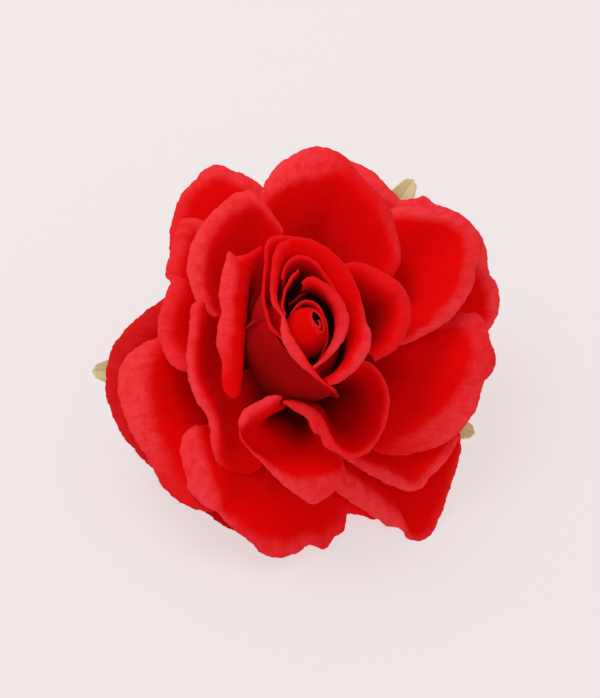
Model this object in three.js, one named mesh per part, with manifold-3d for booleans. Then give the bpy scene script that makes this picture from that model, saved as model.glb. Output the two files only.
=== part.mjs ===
// A red fabric rose for a buttonhole, lying on a table as it was put down: it leans on the
// rims of its lower petals and on the end of its short wrapped stem.
// Millimetres, +Z up, origin on the table under the middle of the flower.
//
// The flower has its own frame: w runs up the flower's axis from the receptacle, and each
// petal is given by its rim, a short list of [azimuth in degrees, distance from the axis].
// A petal is a fan of bent lines that leave the hub, pass the claw and end in a rolled rim.

import * as THREE from "three";
import { mergeVertices } from "three/addons/utils/BufferGeometryUtils.js";
import Module from "manifold-3d";

const wasm = await Module();
wasm.setup();

// ---- driving dimensions ----
const LEAN = 29.9; // degrees between the flower's axis and the vertical
const LEAN_TOWARDS = -73.7; // azimuth the flower looks to, degrees from +X
const RECEPTACLE = new THREE.Vector3(-3.68, 0.1, 17.6); // where the flower's axis starts

const GAP = 0.4; // between pieces that are threaded one above the other

const PETAL_THICK = 0.7;
const PETAL_ACROSS = 12; // steps along a rim
const BUD_ACROSS = 10;
// shares of the way from the hub to the edge, closer together at the roll
const PETAL_ALONG = [0, 0.2, 0.42, 0.64, 0.82, 0.93, 1];
const BUD_ALONG = [0, 0.3, 0.58, 0.84, 0.95, 1];

const HUB_RADIUS = 4.2; // each whorl is one die-cut piece with a hub at its middle
const HUB_HEIGHT = 2.5;
const HUB_SIDES = 16;
const FIRST_HUB = 0.9; // w of the underside of the lowest hub
const ROOT_RADIUS = 2.5; // where the petals start, well inside the hub
const ROOT_SPREAD = 0.07; // width of a petal at its root, as a share of its width at the crest
const CLAW_RADIUS = 9; // where a petal starts to widen
const CLAW_SPREAD = 0.42; // width at the claw, as a share of the width at the crest
const CLAW_REACH = 0.12; // how far the claw's line follows the petal's length
const CLAW_RISE = 0.08;
const BELLY_REACH = 0.6; // the belly of the petal: its place and height between claw and crest
const BELLY_RISE = 0.4;
const ROLL_SQUARE = 0.5; // 0 rolls a rim away from the claw, 1 rolls it square to its own line
const LIP_TURN = 0.4; // how far the edge turns back under the rim

const BUD_HIP = 3; // height above the bud's foot where it has three quarters of its width
const BUD_HIP_SHARE = 0.78;
const BUD_BELLY = 10; // height of the bud's widest place above its foot
const BUD_SOCKET = 3; // depth of the wire's hole in the bud
// radius and height above the bud's foot of its rolled core, with a hollow at the top
const CORE_PROFILE = [[0, -0.8], [3.4, -0.8], [4.4, 4], [4.8, 14], [4.0, 20], [3.0, 23],
  [1.9, 23.4], [1.4, 19], [0, 18.5]];
const CORE_SIDES = 14;

const WIRE_RADIUS = 1.0;
const WIRE_HOLE = 1.4;
const WIRE_SIDES = 12;
const STEM_END = -21.5; // w of the cut end of the wire
const WRAP_RADIUS = 2.4; // the tape wound round the wire
const WRAP_END = -19;
const WRAP_SIDES = 16;

const CUP_BOTTOM = -7.5; // the green cup that holds the whorls from below
const CUP_TOP = 0.5;
const CUP_PROFILE = [[0, CUP_BOTTOM], [2.9, CUP_BOTTOM], [3.6, -6], [6.2, -2], [6.2, -0.1],
  [5.4, CUP_TOP], [0, CUP_TOP]];
const CUP_SIDES = 20;

const SEPAL_THICK = 1.0;
const SEPAL_WIDTH = 8.5;
const SEPAL_FOLD = 0.12; // how far its sides stand up, as a share of its width
const SEPAL_ROOT = [2.5, -1.9]; // radius and w of its root inside the cup
const SEPAL_BEND = [9, -2.1]; // radius and w where it leaves the cup
const SEPAL_SAG = 1.5;
const SEPAL_ALONG = 7;
const SEPAL_ACROSS = 2;

const TABLE_SPAN = 300; // a block above the table, wider than the flower
const WELD = 1e-5; // points nearer together than this are one

const RED = 0xc40a12;
const DEEP_RED = 0xa8060c;
const GREEN = 0x8f9a3e;
const TAPE_GREEN = 0x3f5a2c;
const STEEL = 0x8a8d90;
const CLOTH_ROUGHNESS = 0.75;
const GREEN_ROUGHNESS = 0.5;
const TAPE_ROUGHNESS = 0.8;
const STEEL_ROUGHNESS = 0.35;

const RAD = Math.PI / 180;

// ---- the petals, lowest whorl first ----
// at: azimuth of the claw; w: rim height along the rim; band: width of the rolled rim;
// drop: how far the roll falls to the rim; lip: how far the edge hangs below the rim;
// claw: height of the claw; reach: its distance from the axis, where it isn't CLAW_RADIUS
const OUTER_WHORL = [
  {
    at: -178, w: [5, 5, 4, 4], band: [5], drop: [1], lip: 1.5, claw: 2.3,
    rim: [[146, 28], [157, 35], [170, 38.5], [-175, 41.5], [-166, 42.3], [-158, 42.5],
      [-151, 42.5], [-147, 40], [-142, 35]],
  },
  {
    at: -112, w: [4, 0.5, -2.4, -2.6, 1], band: [5], drop: [1], lip: 1.0, claw: 2.0,
    rim: [[-140, 30], [-133, 35], [-126, 38], [-118, 39.6], [-110, 40.2], [-102, 40], [-94, 38],
      [-88, 34]],
  },
  {
    at: -46, w: [8, 7, 5.5, 6, 7], band: [5, 6, 3, 3, 3], drop: [2, 3, 0.5, 0.5, 0.5], lip: 1.2,
    claw: 2.0,
    rim: [[-67, 26], [-66.5, 31], [-60, 38], [-55.5, 44.5], [-54, 48.5], [-51.5, 50.3],
      [-47.5, 50], [-41, 47.2], [-28, 43.8], [-22, 42.3], [-16, 38]],
  },
  {
    at: 52, w: [8, 10, 10, 8, 6], band: [6, 6, 6, 5, 4], drop: [1.5, 1.5, 1.5, 1, 0.5], lip: 2,
    claw: 2.6,
    rim: [[84, 44], [81, 49.5], [77, 52], [62, 50], [48, 52], [42, 53.5], [36, 54], [30, 53],
      [25, 50.5], [18, 44]],
  },
  {
    at: 118, w: [5], band: [4], drop: [0.8], lip: 1.5, claw: 2.2,
    rim: [[140, 30], [136, 36], [131, 41.5], [125, 46.8], [120, 50.2], [110, 52.3], [105, 50.5],
      [100, 46], [96, 39]],
  },
];

const SECOND_WHORL = [
  {
    at: 152, w: [12], band: [4], drop: [1], lip: 1.5, claw: 5.4,
    rim: [[117, 31], [121, 37], [128, 41], [138, 37.3], [148, 34], [152, 31.8], [158, 31.5],
      [164, 31.7], [175, 29.8], [-179, 27.7], [-173, 23]],
  },
  {
    at: -163, w: [12, 12, 12, 11, 10], band: [7], drop: [1.8], lip: 2, claw: 5.0,
    rim: [[164, 24], [168, 30], [174, 34.5], [-179, 38.5], [-171, 39.8], [-163, 40],
      [-155, 39.5], [-147, 39.3], [-139, 40.3], [-133, 40.3], [-127, 39.5], [-121, 36]],
  },
  {
    at: -106, w: [11, 12, 11, 9, 7, 7.5, 9], band: [4, 7, 7, 5, 5, 4, 3],
    drop: [1, 2, 2, 1, 1, 1, 0.5], lip: 1.6, claw: 6.3,
    rim: [[-149, 24], [-147, 28], [-143, 32], [-134, 35.5], [-122, 38], [-115, 38.2],
      [-105, 40.7], [-98, 43], [-93, 43.4], [-88.5, 42.4], [-85.5, 41.3], [-82, 43],
      [-78, 40.3], [-75, 39.3], [-72.5, 36.6], [-73, 32]],
  },
  {
    at: -47, w: [12, 12, 12, 11.5, 11], band: [3, 5, 4, 2, 2], drop: [1, 2, 1, 0.5, 0.5], lip: 1,
    claw: 5.2,
    rim: [[-88, 16], [-79, 21], [-69, 24.5], [-61, 28], [-54, 33], [-48, 39], [-45, 41],
      [-41, 40.7],
      [-37, 40.5], [-28, 41.5], [-22, 40], [-16, 35]],
  },
  {
    at: 24, w: [11, 12, 12, 12, 10], band: [4], drop: [1], lip: 1.5, claw: 5.6,
    rim: [[42, 36], [36, 42], [30, 45], [25, 47.3], [22, 50], [17.5, 50.6], [13, 49], [11, 46],
      [9, 40], [6, 34]],
  },
];

const THIRD_WHORL = [
  {
    at: 128, w: [20], band: [5, 5, 5, 5, 2], drop: [1.5, 1.5, 1.5, 1.5, 0.5], lip: 1.5,
    claw: 9.2,
    rim: [[92, 30], [97, 36], [102, 38.3], [107, 39.3], [113, 39], [119, 38], [130, 35.2],
      [136, 33.6], [142, 31.2], [148, 28.2], [157, 23], [160, 20]],
  },
  {
    at: -165, w: [20, 20, 20, 20, 19, 18], band: [2, 5, 5, 4, 3, 3],
    drop: [1, 1.5, 1.5, 1, 0.7, 0.5], lip: 1.2, claw: 9.4,
    rim: [[152, 21], [156, 24], [169, 24.5], [-170, 24.8], [-157, 25.7], [-147, 25.1],
      [-142, 25.3], [-137, 26.6], [-131, 28.7], [-126, 31], [-119, 31.2], [-113, 30],
      [-107, 25]],
  },
  {
    at: 78, w: [20], band: [5, 8, 9, 7, 4, 2], drop: [1, 2, 3, 2, 1, 0.7], lip: 2, claw: 9.4,
    rim: [[106, 32], [103.5, 37.8], [100, 42.4], [94, 46.2], [86, 49.2], [82, 49.2], [76, 47.6],
      [68, 43], [58, 39], [48, 34.3], [40, 28]],
  },
  {
    at: 34, w: [18, 19, 20, 20, 20, 19], band: [6, 6, 5, 5, 5, 5], drop: [1.5], lip: 2,
    claw: 9.2,
    rim: [[66, 36], [61.5, 41.3], [51.7, 44.7], [41, 48], [36, 48.3], [27, 45.8],
      [22.5, 43.2], [17.3, 39.6], [11.8, 35.7], [7.5, 32], [4, 24]],
  },
  {
    at: -14, w: [15, 16, 15, 15, 15], band: [7, 8, 6, 5, 3], drop: [1.5, 2, 1, 1, 0.5], lip: 1.2,
    claw: 8.7,
    rim: [[21, 36], [16.5, 41.5], [12, 46], [6, 46.5], [1, 46.3], [-8, 43.7], [-14, 43.5],
      [-21, 42.5], [-29.5, 40], [-38.5, 35.5], [-46, 30], [-49, 25]],
  },
];

const INNER_WHORL = [
  {
    at: 171, w: [31, 30, 30, 30, 30], band: [1, 5.5, 5.5, 5.5, 4], drop: [1, 3, 3, 3, 2],
    lip: 0.8, claw: 16, reach: 11.5,
    rim: [[112, 20], [116, 22.6], [122, 22.8], [127, 24], [130, 25.7], [139, 22.9],
      [148, 21.2], [157, 19.8], [167, 18.2], [-175, 18.9], [-163, 19.1], [-152, 20.1],
      [-145, 21], [-141, 20.6], [-137, 18]],
  },
  {
    at: -92, w: [30, 30, 28, 25, 23, 24, 24, 23], band: [2, 3, 1.5, 1.5, 5, 5, 3, 1],
    drop: [1, 1.5, 0.8, 0.6, 1.5, 1.5, 0.8, 0.3], lip: 0.8, claw: 14.5, reach: 12,
    rim: [[-108, 13.8], [-118, 16], [-126, 18.5], [-128.5, 21], [-126, 23.9], [-117, 26.6],
      [-105, 29], [-93.5, 32.5], [-87, 35.8], [-80.5, 34], [-74, 31.2], [-68, 27], [-62, 22.5],
      [-52, 18]],
  },
  {
    at: -46, w: [29, 30, 30, 30, 30], band: [1.5, 5, 4, 3, 2], drop: [0.5, 1.2, 1, 1.5, 1],
    lip: 0.8, claw: 14.5, reach: 12,
    rim: [[-15, 15.5], [-20, 16.6], [-29.2, 20.3], [-40, 25.2], [-50.4, 27.1], [-59.3, 29],
      [-65, 29.2], [-69.7, 27.3], [-75, 22.9], [-79.5, 20], [-86, 18], [-95, 17]],
  },
  {
    at: 24, w: [30], band: [2, 4, 4, 4, 1.5], drop: [1, 1.3, 1.3, 1.3, 0.5], lip: 0.8, claw: 14.5,
    reach: 12,
    rim: [[66, 18], [60, 20.2], [53, 22], [41, 23.7], [28.5, 25.2], [22, 25.3], [16, 24.8],
      [8.5, 23.7], [-3, 21], [-8.5, 19.2], [-13, 17.5], [-17, 16.2]],
  },
];

// petals wound round the bud: belly is the distance from the axis at the bud's widest place
const BUD_PETALS = [
  {
    w: [39], band: [0.8], drop: [0.6], lip: 0, belly: [9.5, 10, 10.5, 10.5],
    rim: [[80, 19.5], [92, 21], [103, 21.5], [112, 21.5], [119, 20.2], [126, 17.1],
      [136, 14.2], [149, 11.9], [164, 10.3], [177, 9.2], [-166, 8.4], [-148, 8.8], [-132, 9.2],
      [-118, 9.6]],
  },
  {
    w: [40, 40, 40, 40, 39], band: [1.5, 2, 2, 2, 2.5], drop: [0.5, 0.6, 0.6, 0.8, 1.2],
    lip: 0.5, belly: [9.5, 9.5, 9.5, 10.5, 11],
    rim: [[106, 17.9], [93, 19.1], [78, 17.7], [60, 14.9], [39, 13.2], [14, 11.7], [7, 11.6],
      [-2, 12.6], [-13, 13.4], [-34, 14], [-57, 14.2], [-65.5, 14.4], [-71, 12.9],
      [-76.5, 10.7]],
  },
  {
    w: [40, 41, 41, 40, 38, 36], band: [1, 1.5, 2.4, 2.4, 2, 1], drop: [0.5, 0.8, 0.8, 0.6, 0.3],
    lip: 0.4, belly: [8, 10.5, 11, 11, 11.3, 11.3],
    rim: [[108, 12.4], [119, 10.6], [132, 8.7], [147, 6.9], [170, 6.2], [-165, 6.5],
      [-150, 7.2], [-120, 8.8], [-107, 9.6], [-95, 10.6], [-87, 11.6], [-80, 13], [-74, 14.6],
      [-69, 16.2], [-64, 15.6]],
  },
  {
    w: [41, 41, 41, 41, 40], band: [1.5, 2, 3, 3, 1], drop: [0.5, 0.8, 1, 1, 0.3], lip: 0.3,
    belly: [9, 9],
    rim: [[97.6, 10.1], [86.7, 10.5], [75.8, 10.3], [60.5, 9.5], [42.6, 9.3], [12.6, 8.5],
      [-24, 7.9], [-58, 8], [-73, 8.7]],
  },
  {
    w: [39], band: [1], drop: [0.4], lip: 0, belly: [8.5, 9.5],
    rim: [[145, 8.5], [130, 10], [119, 12.5], [106, 15.5], [97, 15.5], [89, 14.5], [80, 12.9],
      [72, 11.6], [55, 10.8], [35, 10.4]],
  },
  {
    w: [39.5], band: [1], drop: [0.4], lip: 0, belly: [10.5, 10.5],
    rim: [[106, 17], [114, 16.8], [119, 15.8], [131, 13], [142, 10.6], [154, 8.4], [170, 7.6],
      [-170, 7.4]],
  },
  {
    w: [37], band: [0.6], drop: [0.3], lip: 0, belly: [6.5, 6.5],
    rim: [[160, 5.4], [120, 5.6], [95, 5.4], [69, 4.9], [38, 4.1], [0, 3.6], [-40, 4.2],
      [-80, 5.2]],
  },
];

// azimuth, reach and tip height of each sepal
const SEPALS = [[-16, 44.5, -7], [57, 53, 1], [129, 43, -6], [177, 41.6, -5], [-88, 32, -1.8]];

// ---- small maths ----

/** Value at t, 0 to 1, of a list of values spread evenly along it. */
function along(values, t) {
  const x = t * (values.length - 1);
  const k = Math.min(Math.floor(x), values.length - 2);
  return values.length === 1 ? values[0] : values[k] + (values[k + 1] - values[k]) * (x - k);
}

/** Points at the given shares of the length of a smooth curve through the given ones. */
function smooth(points, shares) {
  const curve = new THREE.CatmullRomCurve3(points, false, "centripetal");
  curve.arcLengthDivisions = 400;
  return shares.map((share) => curve.getPointAt(share));
}

/** Shares of a length in even steps, from 0 to 1. */
function even(steps) {
  return Array.from({ length: steps + 1 }, (_, i) => i / steps);
}

/** A point given by azimuth in degrees, distance from the axis and height. */
function polar(azimuth, radius, w) {
  return new THREE.Vector3(
    radius * Math.cos(azimuth * RAD), radius * Math.sin(azimuth * RAD), w);
}

/** The rim of a petal in even steps, with its height. */
function rimPoints(petal, steps) {
  const flat = petal.rim.map(([azimuth, radius]) => polar(azimuth, radius, 0));
  const total = flat.slice(1).reduce((sum, point, i) => sum + point.distanceTo(flat[i]), 0);
  let walked = 0;
  flat.forEach((point, i) => {
    walked += i > 0 ? Math.hypot(point.x - flat[i - 1].x, point.y - flat[i - 1].y) : 0;
    point.z = along(petal.w, walked / total);
  });
  return smooth(flat, even(steps));
}

// ---- sheets ----

/** The way a rim rolls at step i: between away from the claw and square to the rim's line. */
function rollWay(rims, i, claw) {
  const away = rims[i].clone().sub(claw).setZ(0).normalize();
  const ahead = rims[Math.min(i + 1, rims.length - 1)].clone().sub(rims[Math.max(i - 1, 0)]);
  const square = new THREE.Vector3(-ahead.y, ahead.x, 0).normalize();
  return away.lerp(square.multiplyScalar(Math.sign(square.dot(away))), ROLL_SQUARE).normalize();
}

/** The middle surface of a spreading petal: one row of points for each step of the rim. */
function petalRows(petal, hubMiddle) {
  const claw = polar(petal.at, petal.reach ?? CLAW_RADIUS, petal.claw);
  const ahead = polar(petal.at, 1, 0);
  const rims = rimPoints(petal, PETAL_ACROSS);
  return rims.map((rim, i) => {
    const t = i / PETAL_ACROSS;
    const way = rollWay(rims, i, claw);
    const crest = rim.clone().addScaledVector(way, -along(petal.band, t));
    crest.z += along(petal.drop, t);
    const rise = crest.z - claw.z;
    const length = crest.clone().sub(claw).dot(ahead);
    const side = crest.clone().sub(claw).setZ(0).addScaledVector(ahead, -length);
    const root = polar(petal.at, ROOT_RADIUS, hubMiddle).addScaledVector(side, ROOT_SPREAD);
    const waist = claw.clone().addScaledVector(side, CLAW_SPREAD)
      .addScaledVector(ahead, CLAW_REACH * length).setZ(claw.z + CLAW_RISE * rise);
    const belly = claw.clone().lerp(crest, BELLY_REACH).setZ(claw.z + BELLY_RISE * rise);
    const lip = rim.clone().addScaledVector(way, -LIP_TURN).setZ(rim.z - petal.lip);
    return smooth([root, waist, belly, crest, rim, lip], PETAL_ALONG);
  });
}

/** The middle surface of a petal wound round the bud. */
function budRows(petal, foot) {
  return rimPoints(petal, BUD_ACROSS).map((rim, i) => {
    const t = i / BUD_ACROSS;
    const out = new THREE.Vector3(rim.x, rim.y, 0).normalize();
    const width = along(petal.belly, t);
    const root = out.clone().multiplyScalar(ROOT_RADIUS).setZ(foot);
    const hip = out.clone().multiplyScalar(BUD_HIP_SHARE * width).setZ(foot + BUD_HIP);
    const belly = out.clone().multiplyScalar(width).setZ(foot + BUD_BELLY);
    const crest = rim.clone().addScaledVector(out, -along(petal.band, t));
    crest.z += along(petal.drop, t);
    const points = [root, hip, belly, crest, rim];
    if (petal.lip > 0) points.push(rim.clone().setZ(rim.z - petal.lip));
    return smooth(points, BUD_ALONG);
  });
}

/** A closed sheet of even thickness round a grid of points. */
function sheet(rows, thick) {
  const [m, n] = [rows.length, rows[0].length];
  const at = (i, j) => rows[Math.min(Math.max(i, 0), m - 1)][Math.min(Math.max(j, 0), n - 1)];
  const half = (side) => rows.flatMap((row, i) => row.map((point, j) => {
    const across = at(i + 1, j).clone().sub(at(i - 1, j));
    const forward = at(i, j + 1).clone().sub(at(i, j - 1));
    return point.clone().addScaledVector(across.cross(forward).normalize(), side * thick / 2);
  }));
  const points = [...half(1), ...half(-1)];
  const index = [];
  const quad = (a, b, c, d) => index.push(a, b, c, a, c, d);
  const top = (i, j) => i * n + j;
  const under = (i, j) => m * n + i * n + j;
  for (let i = 0; i < m - 1; i += 1) {
    for (let j = 0; j < n - 1; j += 1) {
      quad(top(i, j), top(i + 1, j), top(i + 1, j + 1), top(i, j + 1));
      index.push(under(i, j), under(i + 1, j + 1), under(i + 1, j));
      index.push(under(i, j), under(i, j + 1), under(i + 1, j + 1));
    }
  }
  for (let i = 0; i < m - 1; i += 1) {
    quad(under(i, 0), under(i + 1, 0), top(i + 1, 0), top(i, 0));
    quad(top(i, n - 1), top(i + 1, n - 1), under(i + 1, n - 1), under(i, n - 1));
  }
  for (let j = 0; j < n - 1; j += 1) {
    quad(top(0, j), top(0, j + 1), under(0, j + 1), under(0, j));
    quad(under(m - 1, j), under(m - 1, j + 1), top(m - 1, j + 1), top(m - 1, j));
  }
  const geometry = new THREE.BufferGeometry();
  geometry.setAttribute("position",
    new THREE.Float32BufferAttribute(points.flatMap((p) => [p.x, p.y, p.z]), 3));
  geometry.setIndex(index);
  return geometry;
}

/** A solid turned round the flower's axis from a profile of [radius, w]. */
function turned(profile, sides) {
  const lathe = new THREE.LatheGeometry(profile.map(([r, w]) => new THREE.Vector2(r, w)), sides);
  return lathe.rotateX(Math.PI / 2);
}

// ---- joining and cutting ----

/** A closed three.js geometry as a solid, turned outside out where it is inside out. */
function solid(geometry) {
  const bare = geometry.clone();
  bare.deleteAttribute("normal");
  bare.deleteAttribute("uv");
  const merged = mergeVertices(bare, WELD);
  const corners = merged.index.array;
  const kept = [];
  for (let k = 0; k < corners.length; k += 3) {
    const [a, b, c] = [corners[k], corners[k + 1], corners[k + 2]];
    if (a !== b && b !== c && c !== a) kept.push(a, b, c);
  }
  const make = (list) => new wasm.Manifold(new wasm.Mesh({
    numProp: 3,
    vertProperties: new Float32Array(merged.attributes.position.array),
    triVerts: new Uint32Array(list),
  }));
  const first = make(kept);
  return first.volume() > 0 ? first : make(kept.reverse());
}

/** All solids joined to one. */
function joined(solids) {
  return solids.reduce((sum, next) => sum.add(next));
}

/** The largest body of a solid, without loose scraps. */
function mainBody(body) {
  return body.decompose().reduce((best, next) => (next.volume() > best.volume() ? next : best));
}

/** The flower's frame in the part's frame. */
function flowerMatrix() {
  const [lean, towards] = [LEAN * RAD, LEAN_TOWARDS * RAD];
  const axis = new THREE.Vector3(
    Math.sin(lean) * Math.cos(towards), Math.sin(lean) * Math.sin(towards), Math.cos(lean));
  const right = new THREE.Vector3(1, 0, 0).addScaledVector(axis, -axis.x).normalize();
  const up = new THREE.Vector3().crossVectors(axis, right);
  return new THREE.Matrix4().makeBasis(right, up, axis).setPosition(RECEPTACLE);
}

const FLOWER = flowerMatrix();
const ABOVE_TABLE = solid(
  new THREE.BoxGeometry(TABLE_SPAN, TABLE_SPAN, TABLE_SPAN).translate(0, 0, TABLE_SPAN / 2));

/** A solid of the flower's frame stood in the part's frame and cut flat at the table. */
function placed(body) {
  return mainBody(body.transform(FLOWER.elements).intersect(ABOVE_TABLE));
}

/** A named mesh of a finished solid. */
function piece(name, body, color, roughness, metalness) {
  const { vertProperties, triVerts } = body.getMesh();
  const geometry = new THREE.BufferGeometry();
  geometry.setAttribute("position", new THREE.BufferAttribute(vertProperties, 3));
  geometry.setIndex(new THREE.BufferAttribute(triVerts, 1));
  geometry.computeVertexNormals();
  const material = new THREE.MeshStandardMaterial({ color, roughness, metalness });
  const mesh = new THREE.Mesh(geometry, material);
  mesh.name = name;
  return mesh;
}

// ---- the pieces ----

/** A straight rod round the flower's axis. */
function rod(radius, bottom, top, sides) {
  return solid(turned([[0, bottom], [radius, bottom], [radius, top], [0, top]], sides));
}

const HUB_STEP = HUB_HEIGHT + GAP;
const BUD_FOOT = FIRST_HUB + 4 * HUB_STEP + 1.4;
const wireHole = rod(WIRE_HOLE, STEM_END, BUD_FOOT + BUD_SOCKET, WIRE_SIDES);

/** One whorl: a hub threaded on the wire, with its petals. */
function whorl(petals, number) {
  const bottom = FIRST_HUB + number * HUB_STEP;
  const hub = rod(HUB_RADIUS, bottom, bottom + HUB_HEIGHT, HUB_SIDES);
  const blades = petals.map(
    (petal) => solid(sheet(petalRows(petal, bottom + HUB_HEIGHT / 2), PETAL_THICK)));
  return joined([hub, ...blades]).subtract(wireHole);
}

/** The rolled core with the petals wound round it, on a socket for the wire. */
function bud() {
  const core = solid(turned(CORE_PROFILE.map(([r, rise]) => [r, BUD_FOOT + rise]), CORE_SIDES));
  const blades = BUD_PETALS.map((petal) => solid(sheet(budRows(petal, BUD_FOOT), PETAL_THICK)));
  return joined([core, ...blades]).subtract(wireHole);
}

/** The middle surface of a sepal: rows across its width, from the cup to the tip. */
function sepalRows(azimuth, reach, tipHeight) {
  const middle = polar(azimuth, reach * 0.55, (SEPAL_BEND[1] + tipHeight) / 2 - SEPAL_SAG);
  const spine = smooth([polar(azimuth, ...SEPAL_ROOT), polar(azimuth, ...SEPAL_BEND), middle,
    polar(azimuth, reach, tipHeight)], even(SEPAL_ALONG));
  const side = polar(azimuth + 90, 1, 0);
  return even(SEPAL_ACROSS).map((share) => {
    const across = 2 * share - 1;
    return spine.map((point, j) => {
      const swell = Math.sin(Math.PI * (0.25 + 0.75 * j / SEPAL_ALONG));
      const width = SEPAL_WIDTH * (0.12 + 0.95 * swell ** 1.2);
      return point.clone().addScaledVector(side, across * width / 2)
        .setZ(point.z + Math.abs(across) * width * SEPAL_FOLD);
    });
  });
}

/** The green cup under the flower with its five bent sepals. */
function calyx() {
  const cup = solid(turned(CUP_PROFILE, CUP_SIDES));
  const sepals = SEPALS.map((sepal) => solid(sheet(sepalRows(...sepal), SEPAL_THICK)));
  return joined([cup, ...sepals]).subtract(wireHole);
}

/** The tape wound round the wire below the cup. */
function wrap() {
  const hole = rod(WIRE_RADIUS + GAP, STEM_END, CUP_BOTTOM, WIRE_SIDES);
  return rod(WRAP_RADIUS, WRAP_END, CUP_BOTTOM - GAP, WRAP_SIDES).subtract(hole);
}

const wire = rod(WIRE_RADIUS, STEM_END, BUD_FOOT + BUD_SOCKET / 2, WIRE_SIDES);

const rose = new THREE.Group();
rose.add(
  piece("outer_whorl", placed(whorl(OUTER_WHORL, 0)), RED, CLOTH_ROUGHNESS, 0),
  piece("second_whorl", placed(whorl(SECOND_WHORL, 1)), RED, CLOTH_ROUGHNESS, 0),
  piece("third_whorl", placed(whorl(THIRD_WHORL, 2)), RED, CLOTH_ROUGHNESS, 0),
  piece("inner_whorl", placed(whorl(INNER_WHORL, 3)), RED, CLOTH_ROUGHNESS, 0),
  piece("bud", placed(bud()), DEEP_RED, CLOTH_ROUGHNESS, 0),
  piece("calyx", placed(calyx()), GREEN, GREEN_ROUGHNESS, 0),
  piece("stem_wire", placed(wire), STEEL, STEEL_ROUGHNESS, 1),
  piece("stem_wrap", placed(wrap()), TAPE_GREEN, TAPE_ROUGHNESS, 0),
);

export default rose;
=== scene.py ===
"""Dresses a red fabric rose for a buttonhole: thin cloth petals in place of the solid whorls.

Lengths in the tables are millimetres and angles degrees. The flower has its own frame, with w
along its axis from the receptacle, and FlowerFrame turns it into the part's frame in metres.
"""

import logging
import math
from dataclasses import dataclass, field
from enum import Enum

import bmesh
import bpy
import numpy as np
from mathutils import Matrix, Vector


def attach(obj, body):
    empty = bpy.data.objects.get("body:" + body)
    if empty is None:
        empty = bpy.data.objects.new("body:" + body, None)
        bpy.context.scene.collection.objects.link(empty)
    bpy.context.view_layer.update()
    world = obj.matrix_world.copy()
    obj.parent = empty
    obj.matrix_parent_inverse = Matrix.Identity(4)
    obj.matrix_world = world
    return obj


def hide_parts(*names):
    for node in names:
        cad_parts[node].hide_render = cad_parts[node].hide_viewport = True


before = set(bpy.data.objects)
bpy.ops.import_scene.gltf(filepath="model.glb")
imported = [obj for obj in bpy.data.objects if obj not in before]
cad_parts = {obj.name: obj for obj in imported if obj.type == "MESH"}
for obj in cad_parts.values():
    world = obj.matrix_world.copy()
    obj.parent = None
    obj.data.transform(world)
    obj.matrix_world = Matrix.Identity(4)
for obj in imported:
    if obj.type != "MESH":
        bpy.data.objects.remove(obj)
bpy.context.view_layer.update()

LOG = logging.getLogger("rose")
Line = list[tuple[float, ...]]  # points, each given in the photograph or as azimuth and distance from the axis
Heights = tuple[float, ...]  # one for each point of a line, or a few shared out over it
Spread = tuple[float, ...]  # values spread evenly from a line's start to its end
Colour = tuple[float, float, float, float]

MM = 0.001
LEAST_GAP = 1e-6  # shortest distance between points that counts as a distance
TINY = 1e-9  # least length that a direction is divided by
WELD_GAP = 1e-7  # points closer than this, in metres, are one point
CURVE_STEPS = 16  # points between two knots of a curve, before it is measured
PICKED = 3  # numbers that a point given in the photograph has
ROOT_RADIUS = 2.5  # where petals start, inside the hub
HUB_RADIUS = 4.2
HUB_HEIGHT = 2.5
HUB_CHAMFER = (0.3, 0.4)  # how far the hub's corners are cut back, across and along the axis
FIRST_HUB = 0.9
HUB_STEP = 2.9
HUBS = 4
BUD_FOOT = FIRST_HUB + HUBS * HUB_STEP + 1.4
CLOTH_THICK = 0.34
TABLE_GAP = 0.03  # least height of a piece's underside over the table
TURNED_SIDES = 32
TURNED_LAYOUT = 0.1  # cloth coordinate for each degree round a turned solid
TURNED_EDGE = 0.2  # edge share of a turned solid
WHORL_SEEDS = 100  # between the first seeds of two whorls
BUD_SEEDS = 900
PETAL_SEEDS = 10  # between two petals
CLOTH_UV = "cloth"
EDGE_SHARE = "edge_share"  # 0 at a petal's root, 1 at its cut edge
SHEEN_MASK = "rolled"  # how much painted sheen a petal has: 0 inside, up to 1 on its rolled rim
PAINTED_SHADE = "painted_shade"  # painted shade: 0 where the cloth is painted darkest, 1 where it has its full colour


class Slot(Enum):
    """Slots, which say what each piece is made of."""

    PETAL = "petal_cloth"
    BUD = "bud_cloth"
    CALYX = "calyx_green"
    WIRE = "wire"
    TAPE = "tape"


# ---- curves ----


def along(values: Spread, shares: np.ndarray) -> np.ndarray:
    """Values spread evenly along a line, read at the given shares of it."""
    return np.interp(shares, np.linspace(0, 1, len(values)), values)


def rising(share: np.ndarray, between: tuple[float, float]) -> np.ndarray:
    """Numbers that rise from 0 to 1 between two shares."""
    return np.clip((share - between[0]) / (between[1] - between[0]), 0, 1)


def unit(ways: np.ndarray, least: float = TINY) -> np.ndarray:
    """Vectors along the last axis, each made one long."""
    return ways / np.maximum(np.linalg.norm(ways, axis=-1, keepdims=True), least)


def polar(azimuth: float | np.ndarray, radius: float | np.ndarray,
          w: float | np.ndarray) -> np.ndarray:
    """Points of the flower's frame from azimuth in degrees, distance from the axis and height."""
    angle = np.radians(azimuth)
    return np.stack(np.broadcast_arrays(radius * np.cos(angle), radius * np.sin(angle), w), -1)


def lengths(lines: np.ndarray) -> np.ndarray:
    """The length walked up to each point of each line.

    Args:
        lines: Points, shaped (lines, points, columns).

    Returns:
        Lengths, shaped (lines, points).
    """
    steps = np.linalg.norm(np.diff(lines, axis=1), axis=2)
    return np.concatenate([np.zeros((len(lines), 1)), np.cumsum(steps, axis=1)], axis=1)


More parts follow.
